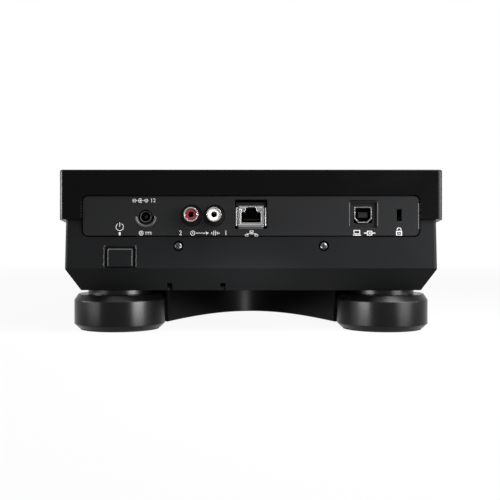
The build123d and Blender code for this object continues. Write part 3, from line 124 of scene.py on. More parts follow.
class Graph:
    """A node tree with a short way to add and join its nodes."""

    MIX_FIRST, MIX_SECOND, MIX_RESULT = 6, 7, 2

    def __init__(self, tree: Tree) -> None:
        """Take the tree and clear it."""
        self.tree = tree
        self.tree.nodes.clear()

    def feed(self, socket: Socket, value: Value) -> None:
        """Join a socket to another, or set its value."""
        if isinstance(value, Socket):
            self.tree.links.new(value, socket)
        else:
            socket.default_value = value

    def add(self, kind: str, inputs: Inputs | None = None, **settings: object) -> bpy.types.Node:
        """Add a node.

        Args:
            kind: the node's type.
            inputs: values for its sockets, or sockets that are joined to them.
            settings: properties of the node.

        Returns:
            The new node.
        """
        node = self.tree.nodes.new(kind)
        for name, value in settings.items():
            setattr(node, name, value)
        for name, value in (inputs or {}).items():
            self.feed(node.inputs[name], value)
        return node

    def maths(self, operation: str, *values: Value) -> Socket:
        """Return the output of a Math node that works on the values."""
        return self.add("ShaderNodeMath", dict(enumerate(values)), operation=operation).outputs[0]

    def blend(self, factor: Value, first: Value, second: Value) -> Socket:
        """Return a colour between two colours."""
        inputs = {0: factor, self.MIX_FIRST: first, self.MIX_SECOND: second}
        return self.add("ShaderNodeMix", inputs, data_type="RGBA").outputs[self.MIX_RESULT]

    def spread(self, value: Value, low: float, high: float, least: float = 0.0, most: float = 1.0) -> Socket:
        """Return the value, taken from one range to another."""
        inputs = dict(enumerate((value, low, high, least, most)))
        return self.add("ShaderNodeMapRange", inputs).outputs[0]

    def noise(self, place: Value, scale: Value, detail: float = 2.0, warp: float = 0.0) -> Socket:
        """Return cloudy noise at a place."""
        inputs = {"Vector": place, "Scale": scale, "Detail": detail, "Distortion": warp}
        return self.add("ShaderNodeTexNoise", inputs).outputs[0]

    def group(self, tree: Tree, **inputs: Value) -> bpy.types.NodeOutputs:
        """Add a node group and return its outputs."""
        return self.add("ShaderNodeGroup", inputs, node_tree=tree).outputs


class Effects:
    """The shared effects, each a node group that is made on its first use."""

    NUMBER = "NodeSocketFloat"
    VECTOR = "NodeSocketVector"
    PATTERN_IN = {"Vector": VECTOR, "Scale": NUMBER}
    PATTERN_OUT = {"Height": NUMBER, "Tone": NUMBER}
    FINE_GRAIN, BROAD_GRAIN = 1.7, 0.012
    FINE_SHARE, BROAD_SHARE = 0.3, 0.7
    SMUDGE_START, SMUDGE_FULL = 0.45, 0.72
    EDGE_START, EDGE_FULL = 0.99, 0.8
    LINE_STRETCH = (1.0, 0.08, 1.0)
    BROAD_LINES = 0.05

    @staticmethod
    def _start(name: str, inputs: dict[str, str], outputs: dict[str, str]) -> tuple[Graph, list[Socket]]:
        """Make an empty group with its sockets.

        Args:
            name: the group's name.
            inputs: the sockets going in, by name and type.
            outputs: the sockets coming out, by name and type.

        Returns:
            The group's graph, and what comes into it in order.
        """
        tree = bpy.data.node_groups.new(name, "ShaderNodeTree")
        for way, sockets in (("INPUT", inputs), ("OUTPUT", outputs)):
            for label, kind in sockets.items():
                tree.interface.new_socket(name=label, in_out=way, socket_type=kind)
        graph = Graph(tree)
        given = graph.add("NodeGroupInput")
        return graph, [given.outputs[label] for label in inputs]

    @cache
    def grain(self) -> Tree:
        """Return the fine pebble of a moulded surface."""
        graph, (place, scale) = self._start("moulded_grain", self.PATTERN_IN, self.PATTERN_OUT)
        cells = {"Vector": place, "Scale": scale}
        pebble = graph.add("ShaderNodeTexVoronoi", cells, feature="SMOOTH_F1").outputs["Distance"]
        fine = graph.noise(place, graph.maths("MULTIPLY", scale, self.FINE_GRAIN), detail=3.0)
        broad = graph.noise(place, graph.maths("MULTIPLY", scale, self.BROAD_GRAIN), detail=4.0)
        height = graph.maths("ADD", pebble, fine)
        mixed = graph.maths("MULTIPLY", broad, self.BROAD_SHARE)
        tone = graph.maths("MULTIPLY_ADD", fine, self.FINE_SHARE, mixed)
        graph.add("NodeGroupOutput", {"Height": height, "Tone": tone})
        return graph.tree

    @cache
    def smudge(self) -> Tree:
        """Return soft patches where hands and dust have changed the gloss."""
        inputs = {**self.PATTERN_IN, "Amount": self.NUMBER}
        graph, (place, scale, amount) = self._start("handling_smudge", inputs, {"Mask": self.NUMBER})
        cloud = graph.noise(place, scale, detail=6.0, warp=0.6)
        patch = graph.spread(cloud, self.SMUDGE_START, self.SMUDGE_FULL)
        graph.add("NodeGroupOutput", {"Mask": graph.maths("MULTIPLY", patch, amount)})
        return graph.tree

    @cache
    def edges(self) -> Tree:
        """Return normals that are rounded at sharp edges, and a mask of those edges."""
        outputs = {"Normal": self.VECTOR, "Edge": self.NUMBER}
        graph, (radius,) = self._start("rounded_edges", {"Radius": self.NUMBER}, outputs)
        rounded = graph.add("ShaderNodeBevel", {"Radius": radius}, samples=4).outputs[0]
        plain = graph.add("ShaderNodeNewGeometry").outputs["Normal"]
        both = {0: rounded, 1: plain}
        agree = graph.add("ShaderNodeVectorMath", both, operation="DOT_PRODUCT").outputs["Value"]
        edge = graph.spread(agree, self.EDGE_START, self.EDGE_FULL)
        graph.add("NodeGroupOutput", {"Normal": rounded, "Edge": edge})
        return graph.tree

    @cache
    def brushed(self) -> Tree:
        """Return the fine drawn lines of plated or turned metal."""
        graph, (place, scale) = self._start("brushed_lines", self.PATTERN_IN, self.PATTERN_OUT)
        both = {0: place, 1: self.LINE_STRETCH}
        drawn = graph.add("ShaderNodeVectorMath", both, operation="MULTIPLY").outputs[0]
        lines = graph.noise(drawn, scale, detail=4.0)
        broad = graph.noise(place, graph.maths("MULTIPLY", scale, self.BROAD_LINES))
        graph.add("NodeGroupOutput", {"Height": lines, "Tone": broad})
        return graph.tree


EFFECTS = Effects()


def scaled(colour: Colour, by: float) -> tuple[float, float, float, float]:
    """Return a colour made lighter or darker, with an opaque fourth value."""
    return (colour[0] * by, colour[1] * by, colour[2] * by, 1.0)


@dataclass(frozen=True)
class Finish:
    """A finish: a colour with grain, smudges and softened edges.

    Args:
        name: the material's name.
        colour: linear base colour.
        roughness: mean roughness.
        specular: specular level of the shader.
        grain: grain cells in a metre.
        grain_depth: height of the grain, in millimetres.
        metallic: 1 for metal.
        edge_radius: radius of softened edges, in millimetres.
        edge_light: how far worn edges lighten.
        edge_gain: how many times lighter a worn edge is.
        smudge: how strong the smudges are.
        coat: weight of a clear coat.
        coat_roughness: roughness of that coat.
        transmission: how much light passes through.
        drawn: True for drawn lines in place of moulded grain.
        glow: strength of light given off.
    """

    name: str
    colour: Colour
    roughness: float = 0.5
    specular: float = 0.2
    grain: float = 2200.0
    grain_depth: float = 0.02
    metallic: float = 0.0
    edge_radius: float = 0.3
    edge_light: float = 0.25
    edge_gain: float = 1.8
    smudge: float = 0.25
    coat: float = 0.0
    coat_roughness: float = 0.1
    transmission: float = 0.0
    drawn: bool = False
    glow: float = 0.0

    @cache
    def material(self) -> bpy.types.Material:
        """Return the finish's material, made on its first use."""
        material = bpy.data.materials.new(self.name)
        material.use_nodes = True
        graph = Graph(material.node_tree)
        place = graph.add("ShaderNodeTexCoord").outputs["Object"]
        pattern = EFFECTS.brushed() if self.drawn else EFFECTS.grain()
        surface = graph.group(pattern, Vector=place, Scale=self.grain)
        smudge = graph.group(EFFECTS.smudge(), Vector=place, Scale=SMUDGE_SCALE, Amount=self.smudge)
        edges = graph.group(EFFECTS.edges(), Radius=self.edge_radius * MM)
        bump = graph.add(
            "ShaderNodeBump",
            {
                "Height": surface["Height"],
                "Normal": edges["Normal"],
                "Strength": BUMP_STRENGTH,
                "Distance": self.grain_depth * MM,
            },
        )
        base = graph.blend(
            surface["Tone"], scaled(self.colour, 1.0 - VARIATION), scaled(self.colour, 1.0 + VARIATION)
        )
        worn = graph.maths("MULTIPLY", edges["Edge"], self.edge_light)
        light = tuple(min(1.0, part * self.edge_gain + EDGE_LIFT) for part in self.colour) + (1.0,)
        colour = graph.blend(worn, base, light)
        rough = graph.maths("MULTIPLY_ADD", smudge["Mask"], SMUDGE_GLOSS, self.roughness)
        shader = graph.add(
            "ShaderNodeBsdfPrincipled",
            {
                "Base Color": colour,
                "Roughness": rough,
                "Normal": bump.outputs[0],
                "Metallic": self.metallic,
                "Specular IOR Level": self.specular,
                "Coat Weight": self.coat,
                "Coat Roughness": self.coat_roughness,
                "Transmission Weight": self.transmission,
            },
        )
        if self.glow:
            graph.feed(shader.inputs["Emission Color"], colour)
            graph.feed(shader.inputs["Emission Strength"], self.glow)
        graph.add("ShaderNodeOutputMaterial", {"Surface": shader.outputs[0]})
        return material


def metal(name: str, colour: Colour, roughness: float, grain: float, depth: float, **more: float) -> Finish:
    """Return a finish of drawn metal, with more of the finish's fields where they are given."""
    settings = {"specular": 0.5, "metallic": 1.0, "drawn": True, **more}
    return Finish(name, colour, roughness, grain=grain, grain_depth=depth, **settings)


def printed(name: str, colour: Colour) -> Finish:
    """Return a finish of printed ink, whose edges don't wear."""
    return Finish(name, colour, grain=4000.0, grain_depth=0.003, edge_radius=0.02, edge_light=0.0)


class Palette:
    """Every finish of the object, by the part of it that wears it."""

    DEEP_BLACK = (0.0007, 0.0007, 0.0008)
    DARK = (0.012, 0.012, 0.012)

    case = Finish("satin_black_case", DEEP_BLACK, 0.22, 0.048, 2600.0, 0.004, edge_radius=0.5)
    lower = Finish("matt_grey_lower_case", (0.0031, 0.0032, 0.0034), 0.45, 0.035, 2000.0, 0.03)
    tray = Finish("gloss_black_tray", (0.0006, 0.0006, 0.0007), 0.38, 0.03, 1500.0, 0.004, smudge=0.35)
    panel = Finish("brushed_grey_panel", (0.0064, 0.0065, 0.0068), 0.42, 0.03, 1600.0, 0.006)
    foot = Finish("semi_gloss_black_foot", DEEP_BLACK, 0.25, 0.12, 1800.0, 0.004, edge_radius=0.8)
    pad = Finish("black_rubber_pad", (0.010, 0.010, 0.010), 0.85, 0.15, 1200.0, 0.05)
    screw = metal("black_plated_screw", (0.09, 0.09, 0.095), 0.34, 2200.0, 0.004, specular=0.4)
    steel = metal("plated_steel", (0.52, 0.53, 0.54), 0.3, 1800.0, 0.004)
    nickel = metal("nickel_sleeve", (0.34, 0.325, 0.31), 0.22, 2400.0, 0.003, edge_radius=0.15)
    shield = metal("tinned_shield", (0.17, 0.17, 0.17), 0.3, 1500.0, 0.005, edge_radius=0.2, edge_gain=4.5)
    # Gold darkened to paint the shade that the network jack's contacts lie in.
    shade_darkened_gold = metal("gold_contact_painted_shade", (0.16, 0.12, 0.06), 0.25, 3000.0, 0.002, edge_radius=0.05)
    bright_screw = metal("bright_black_screw", (0.05, 0.05, 0.052), 0.18, 2200.0, 0.003, edge_radius=0.1)
    dark_pin = Finish("dark_metal_pin", DARK, 0.4, 0.3, 2400.0, 0.003, metallic=1.0, edge_radius=0.1)
    # A brighter copy of the shield's tin, which paints highlights on the rims' edges.
    tin_painted_highlight = Finish(
        "tin_painted_edge_highlight", (0.5, 0.5, 0.5), 0.3, 0.5, 1500.0, 0.003, metallic=1.0, edge_radius=0.05
    )
    jack = Finish("black_jack_moulding", (0.0022, 0.0022, 0.0024), 0.38, 0.06, 2400.0, 0.01)
    ring = Finish("polished_black_ring", (0.014, 0.014, 0.015), 0.34, 0.35, 2400.0, 0.004)
    inner = Finish("dark_inner_plastic", (0.004, 0.004, 0.0045), 0.55, 0.05)
    red = Finish("red_insulator", (0.085, 0.010, 0.014), 0.35, 0.12, 2600.0, 0.008)
    white = Finish("white_insulator", (0.36, 0.36, 0.355), 0.35, 0.2, 2600.0, 0.008)
    black_steel = Finish("blackened_steel", DARK, 0.5, 0.05, 1800.0, drawn=True)
    hood = Finish("dark_moulded_hood", (0.0035, 0.0035, 0.0037), 0.5, 0.06, 1800.0)
    board = Finish("black_circuit_board", (0.004, 0.005, 0.0045), 0.4, 0.05, 900.0)
    jog = Finish("satin_jog_ring", (0.012, 0.012, 0.013), 0.35, 0.3)
    plate = Finish("turned_jog_plate", (0.030, 0.031, 0.033), 0.33, 0.35, 1600.0, 0.005)
    gloss = Finish("gloss_black_cap", (0.004, 0.004, 0.0045), 0.08, 0.35, grain_depth=0.002, coat=0.6)
    fader = Finish("matt_black_fader", (0.012, 0.012, 0.013), 0.5, 0.25)
    knob = Finish("satin_black_knob", (0.010, 0.010, 0.011), 0.38, 0.3)
    glass = Finish(
        "display_glass", (0.0025, 0.0028, 0.0035), 0.08, 0.15, 2200.0, 0.001, coat=0.1, coat_roughness=0.02
    )
    key = Finish("rubber_grey_key", (0.055, 0.056, 0.060), 0.6, grain=2600.0)
    green = Finish("clear_green_key", (0.06, 0.42, 0.12), 0.3, 0.4, transmission=0.35, glow=0.25)
    amber = Finish("clear_amber_key", (0.62, 0.27, 0.03), 0.3, 0.4, transmission=0.35, glow=0.25)
    ink = printed("white_ink", (0.25, 0.25, 0.25))
    dim_ink = printed("grey_ink", (0.08, 0.08, 0.085))
    # Painted shade: a near-black film laid where a groove, a slit or a pocket's edge lies in shade.
    painted_shade = Finish("black_painted_shade", (0.0006, 0.0006, 0.0006), 0.6, 0.02, edge_radius=0.02, edge_light=0.0)
    # Painted highlight: a light grey film laid along edges where they catch light.
    line = Finish("painted_edge_highlight", (0.026, 0.026, 0.027), 0.4, 0.5, edge_radius=0.05, edge_light=0.0)
    lamp = Finish("white_lamp", (0.85, 0.88, 0.92), 0.3, 0.3, glow=0.6, edge_radius=0.05)


PALETTE = Palette()


def release() -> None:
    """Leave edit mode and deselect every object."""
    if bpy.context.object is not None and bpy.context.object.mode != "OBJECT":
        bpy.ops.object.mode_set(mode="OBJECT")
    bpy.ops.object.select_all(action="DESELECT")


def take(*pieces: Piece) -> None:
    """Select these objects alone and make the first the active one."""
    release()
    for piece in pieces:
        piece.select_set(True)
    bpy.context.view_layer.objects.active = pieces[0]


def join(pieces: list[Piece]) -> Piece:
    """Join pieces into the first of them and return it."""
    take(*pieces)
    if len(pieces) > 1:
        bpy.ops.object.join()
    return pieces[0]


def twin_of(piece: Piece) -> Piece:
    """Return a copy of a piece, with a mesh of its own."""
    twin = piece.copy()
    twin.data = piece.data.copy()
    bpy.context.collection.objects.link(twin)
    return twin


@contextmanager
def editing(chosen_faces: bool = False) -> Iterator[None]:
    """Hold the active object in edit mode.

    Args:
        chosen_faces: True to work on the faces chosen before, False to work on all of it.
    """
    bpy.ops.object.mode_set(mode="EDIT")
    if chosen_faces:
        bpy.ops.mesh.select_mode(type="FACE")
    else:
        bpy.ops.mesh.select_all(action="SELECT")
    yield
    bpy.ops.object.mode_set(mode="OBJECT")


def dress(finish: Finish, *nodes: str) -> None:
    """Give the frame's nodes a finish.

    Args:
        finish: what they wear.
        nodes: the nodes' names.
    """
    for name in nodes:
        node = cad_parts[name]
        if not node.material_slots:
            node.data.materials.append(finish.material())
        for slot in node.material_slots:
            slot.material = finish.material()
        log.info("%s wears %s", name, finish.name)


def settle(piece: Piece, name: str, finish: Finish, body: str) -> Piece:
    """Finish a new piece: its place goes into its mesh, and it gets a name, a finish and its body.

    Args:
        piece: the piece.
        name: its name.
        finish: what it wears.
        body: the body that it moves with.

    Returns:
        The piece.
    """
    take(piece)
    bpy.ops.object.transform_apply(location=True, rotation=True, scale=True)
    piece.name = name
    piece.data.name = name
    piece.data.materials.clear()
    piece.data.materials.append(finish.material())
    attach(piece, body)
    log.info("%s made, riding on %s", name, body)
    return piece


@dataclass
class Marks:
    """Flat printed shapes on one plane, in millimetres, raised to a thin film of ink.

    Args:
        name: the finished piece's name.
        plane: the plane that it lies on.
        at: the place of its zero on that plane, and its height above it.
        finish: the ink.
        film: the ink's thickness.
    """

    name: str
    plane: WorkPlane
    at: tuple[float, ...] = ()
    finish: Finish = PALETTE.ink
    film: float = 0.04
    shapes: list[Piece] = field(default_factory=list)

    def _keep(self) -> Self:
        """Add the shape just made to the set."""
        bpy.ops.object.transform_apply(location=True, rotation=True, scale=True)
        self.shapes.append(bpy.context.object)
        return self

    def bar(self, x: float, y: float, length: float, height: float) -> Self:
        """Add a solid bar."""
        release()
        bpy.ops.mesh.primitive_plane_add(size=MM, location=(x * MM, y * MM, 0.0))
        bpy.context.object.scale = (length, height, 1.0)
        return self._keep()

    def pair(self, x: float, y: float, length: float, height: float) -> Self:
        """Add two bars, at x to the left and to the right."""
        return self.bar(-x, y, length, height).bar(x, y, length, height)

    def frame(self, x: float, y: float, length: float, height: float, line: float) -> Self:
        """Add a rectangle drawn as a line."""
        return self.bar(x, y, length, height)._open(line)

    def _open(self, line: float) -> Self:
        """Cut the middle out of the last shape, leaving a line round it."""
        take(self.shapes[-1])
        with editing():
            bpy.ops.mesh.inset(thickness=line * MM)
            bpy.ops.mesh.delete(type="FACE")
        return self

    def rounded(self, x: float, y: float, length: float, height: float, corner: float, line: float) -> Self:
        """Add a rectangle with round corners, drawn as a line."""
        self.bar(x, y, length, height)
        take(self.shapes[-1])
        with editing():
            bpy.ops.mesh.bevel(offset=corner * MM, segments=8, affect="VERTICES")
        return self._open(line)

    def disc(self, x: float, y: float, radius: float, sides: int = 32, turn: float = 0.0) -> Self:
        """Add a disc, or a regular shape of a few sides."""
        release()
        bpy.ops.mesh.primitive_circle_add(
            vertices=sides,
            radius=radius * MM,
            fill_type="NGON",
            location=(x * MM, y * MM, 0.0),
            rotation=(0.0, 0.0, radians(turn)),
        )
        return self._keep()

    def arrow(self, x: float, y: float, radius: float, turn: float = 0.0) -> Self:
        """Add a triangle that points to the right, turned by a number of degrees."""
        return self.disc(x, y, radius, 3, turn - 90.0)

    def ring(
        self,
        x: float,
        y: float,
        radius: float,
        line: float,
        gap: float = 0.0,
        gap_at: float = 90.0,
        sides: int = 48,
    ) -> Self:
        """Add a ring, with a gap of some degrees where one is given.

        Args:
            x: place of its centre.
            y: place of its centre.
            radius: its outer radius.
            line: its width.
            gap: angle left out.
            gap_at: direction of the middle of the gap.
            sides: number of straight parts.

        Returns:
            The set.
        """
        self.disc(x, y, radius, sides)._open(line)
        if gap:
            shape = self.shapes[-1]
            centre = Vector((x * MM, y * MM, 0.0))
            take(shape)
            for face in shape.data.polygons:
                arm = face.center - centre
                away = (degrees(atan2(arm.y, arm.x)) - gap_at + 180.0) % 360.0 - 180.0
                face.select = abs(away) < gap / 2
            with editing(chosen_faces=True):
                bpy.ops.mesh.delete(type="FACE")
        return self

    def number(self, x: float, y: float, digits: str, height: float) -> Self:
        """Add a plain number, centred on its place."""
        release()
        bpy.ops.object.text_add(location=(x * MM, y * MM, 0.0))
        text = bpy.context.object.data
        text.body = digits
        text.size = height * TEXT_SIZE * MM
        text.align_x = text.align_y = "CENTER"
        text.resolution_u = 4
        bpy.ops.object.convert(target="MESH")
        return self._keep()

    def draw(self, strokes: tuple[Stroke, ...]) -> Self:
        """Add the shapes of a sign, each given by its name and its numbers."""
        for shape, *numbers in strokes:
            getattr(self, shape)(*numbers)
        return self

    def finish_on(self, body: str = "case", slot: str = "panel_grey") -> Piece:
        """Join the shapes, give them their film and put them in place.

        Args:
            body: the body that they move with.
            slot: not used.

        Returns:
            The finished piece.
        """
        piece = join(self.shapes)
        for face in piece.data.polygons:
            face.select = face.normal.z < 0.0
        with editing(chosen_faces=True):
            bpy.ops.mesh.flip_normals()
        film = piece.modifiers.new("film", "SOLIDIFY")
        film.thickness = self.film * MM
        film.offset = 1.0
        bpy.ops.object.modifier_apply(modifier=film.name)
        piece.matrix_world = self.plane.matrix(*self.at) @ piece.matrix_world
        return settle(piece, self.name, self.finish, body)


@dataclass(frozen=True)
class Lamp:
    """A soft box, in metres.

    Args:
        name: its name.
        place: where it hangs.
        aim: the point that it faces.
        size: its width and height.
        power: its power in watts.
        spread: how wide its light opens, in degrees.
    """

    name: str
    place: tuple[float, float, float]
    aim: tuple[float, float, float]
    size: Place
    power: float
    spread: float = 180.0

    def hang(self) -> None:
        """Add the lamp to the scene, out of the camera's sight."""
        release()
        bpy.ops.object.light_add(type="AREA", location=self.place)
        lamp = bpy.context.object
        lamp.name = self.name
        lamp.data.shape = "RECTANGLE"
        lamp.data.size, lamp.data.size_y = self.size
        lamp.data.energy = self.power
        lamp.data.spread = radians(self.spread)
        lamp.visible_camera = False
        line = Vector(self.aim) - Vector(self.place)
        lamp.rotation_euler = line.to_track_quat("-Z", "Y").to_euler()


# Two soft boxes beside the camera and one above the object, then the small lamps whose light lies
# as bands on the feet, on the hollow between them and on the rim's round corners.
LAMPS = (
    Lamp("strip_-1", (-0.26847, 0.29825, 0.26), (0.0, 0.14325, 0.06), (0.22, 0.6), 10.5),
    Lamp("strip_1", (0.95263, 0.69325, 0.46), (0.0, 0.14325, 0.06), (0.46, 1.2), 1.5),
    Lamp("overhead", (0.0, 0.55, 1.35), (0.0, 0.0, 0.08), (1.2, 0.8), 10.5),
    Lamp("foot_beam_0", (0.022, 0.19625, 0.02), (-0.0806, 0.11125, 0.02), (0.065, 0.04), 0.040, 70.0),
    Lamp("foot_beam_1", (-0.022, 0.19625, 0.02), (0.0806, 0.11125, 0.02), (0.065, 0.04), 0.050, 70.0),
    Lamp("foot_beam_2", (-0.158, 0.19625, 0.02), (-0.0806, 0.11125, 0.02), (0.065, 0.04), 0.013, 70.0),
    Lamp("foot_beam_3", (0.170, 0.17725, 0.02), (0.0806, 0.11125, 0.02), (0.065, 0.04), 0.011, 70.0),
    Lamp("hollow_beam", (-0.054, 0.150, 0.01), (0.0, 0.035, 0.01), (0.03, 0.02), 0.020, 30.0),
    Lamp("corner_beam_-1", (-0.35963, 0.16938, 0.09), (-0.111, 0.14325, 0.09), (0.12, 0.06), 0.12, 70.0),
    Lamp("corner_beam_1", (0.35963, 0.16938, 0.09), (0.111, 0.14325, 0.09), (0.12, 0.06), 0.32, 70.0),
)


@dataclass
class Studio:
    """Floor, plain light and camera, in metres."""

    floor_size: float = 8.0
    floor_colour: tuple[float, ...] = (0.3, 0.3, 0.3, 1.0)
    floor_share: float = 0.93
    fade: Place = (0.45, 1.1)
    room_level: float = 0.2
    camera_place: tuple[float, float, float] = (0.0, 0.62325, 0.0572)
    lens: float = 59.83
    sensor: float = 36.0
    shift: Place = (-0.002, -0.03)
    nearest: float = 0.01

    def build(self) -> None:
        """Set up the whole studio."""
        self._room()
        self._floor()
        for lamp in LAMPS:
            lamp.hang()
        self._camera()
        log.info("studio ready")

    @staticmethod
    def _seen(graph: Graph) -> Socket:
        """Return 1 for rays that show the background: seen, mirrored or let through."""
        path = graph.add("ShaderNodeLightPath").outputs
        mirrored = graph.maths("MAXIMUM", path["Is Glossy Ray"], path["Is Transmission Ray"])
        return graph.maths("MAXIMUM", path["Is Camera Ray"], mirrored)

    def _room(self) -> None:
        """Make the room's light: white where it is seen, soft where it falls on the object."""
        world = bpy.data.worlds.new("room")
        world.use_nodes = True
        bpy.context.scene.world = world
        graph = Graph(world.node_tree)
        soft, white = (
            graph.add("ShaderNodeBackground", {"Color": WHITE, "Strength": level}).outputs[0]
            for level in (self.room_level, 1.0)
        )
        mix = graph.add("ShaderNodeMixShader", {0: self._seen(graph), 1: soft, 2: white})
        graph.add("ShaderNodeOutputWorld", {"Surface": mix.outputs[0]})

    def _floor(self) -> None:
        """Make the pale floor, which is whiter where it is seen than where it lights the object."""
        release()
        bpy.ops.mesh.primitive_plane_add(size=self.floor_size)
        floor = bpy.context.object
        floor.name = "floor"
        material = bpy.data.materials.new("pale_floor")
        material.use_nodes = True
        graph = Graph(material.node_tree)
        lit = graph.add("ShaderNodeBsdfDiffuse", {"Color": self.floor_colour}).outputs[0]
        white = graph.add("ShaderNodeEmission", {"Color": WHITE, "Strength": 1.0}).outputs[0]
        place = graph.add("ShaderNodeTexCoord").outputs["Object"]
        away = graph.add("ShaderNodeVectorMath", {0: place}, operation="LENGTH").outputs["Value"]
        whiteness = graph.spread(away, *self.fade, self.floor_share, 1.0)
        share = graph.maths("MULTIPLY", self._seen(graph), whiteness)
        mix = graph.add("ShaderNodeMixShader", {0: share, 1: lit, 2: white})
        graph.add("ShaderNodeOutputMaterial", {"Surface": mix.outputs[0]})
        floor.data.materials.append(material)

    def _camera(self) -> None:
        """Set the camera level with the connector panel."""
        release()
        turn = (radians(90.0), 0.0, radians(180.0))
        bpy.ops.object.camera_add(location=self.camera_place, rotation=turn)
        camera = bpy.context.object
        camera.data.lens = self.lens
        camera.data.sensor_width = self.sensor
        camera.data.shift_x, camera.data.shift_y = self.shift
        camera.data.clip_start = self.nearest
        bpy.context.scene.camera = camera


@dataclass
class Case:
    """The case, its tray and its feet."""

    def build(self) -> None:
        """Dress the case's nodes."""
        dress(PALETTE.case, "top_cover")
        dress(PALETTE.lower, "bottom_case", "power_button")
        dress(PALETTE.tray, "under_tray")
        dress(PALETTE.foot, "feet")
        dress(PALETTE.pad, "foot_pads")
        dress(PALETTE.screw, "foot_screws", "case_screws")


@dataclass
class Inside:
    """Boards, brackets and switches inside the case."""

    def build(self) -> None:
        """Dress the inner nodes."""
        dress(PALETTE.board, "jack_board", "main_board", "panel_board")
        dress(PALETTE.black_steel, "jack_bracket")
        dress(PALETTE.steel, "board_screws", "jog_spindle", "selector_shaft", "tempo_fader_stem")
        dress(PALETTE.inner, "key_switches", "power_switch", "jog_support", "tempo_fader_body")
        dress(PALETTE.inner, "selector_encoder", "display_module")


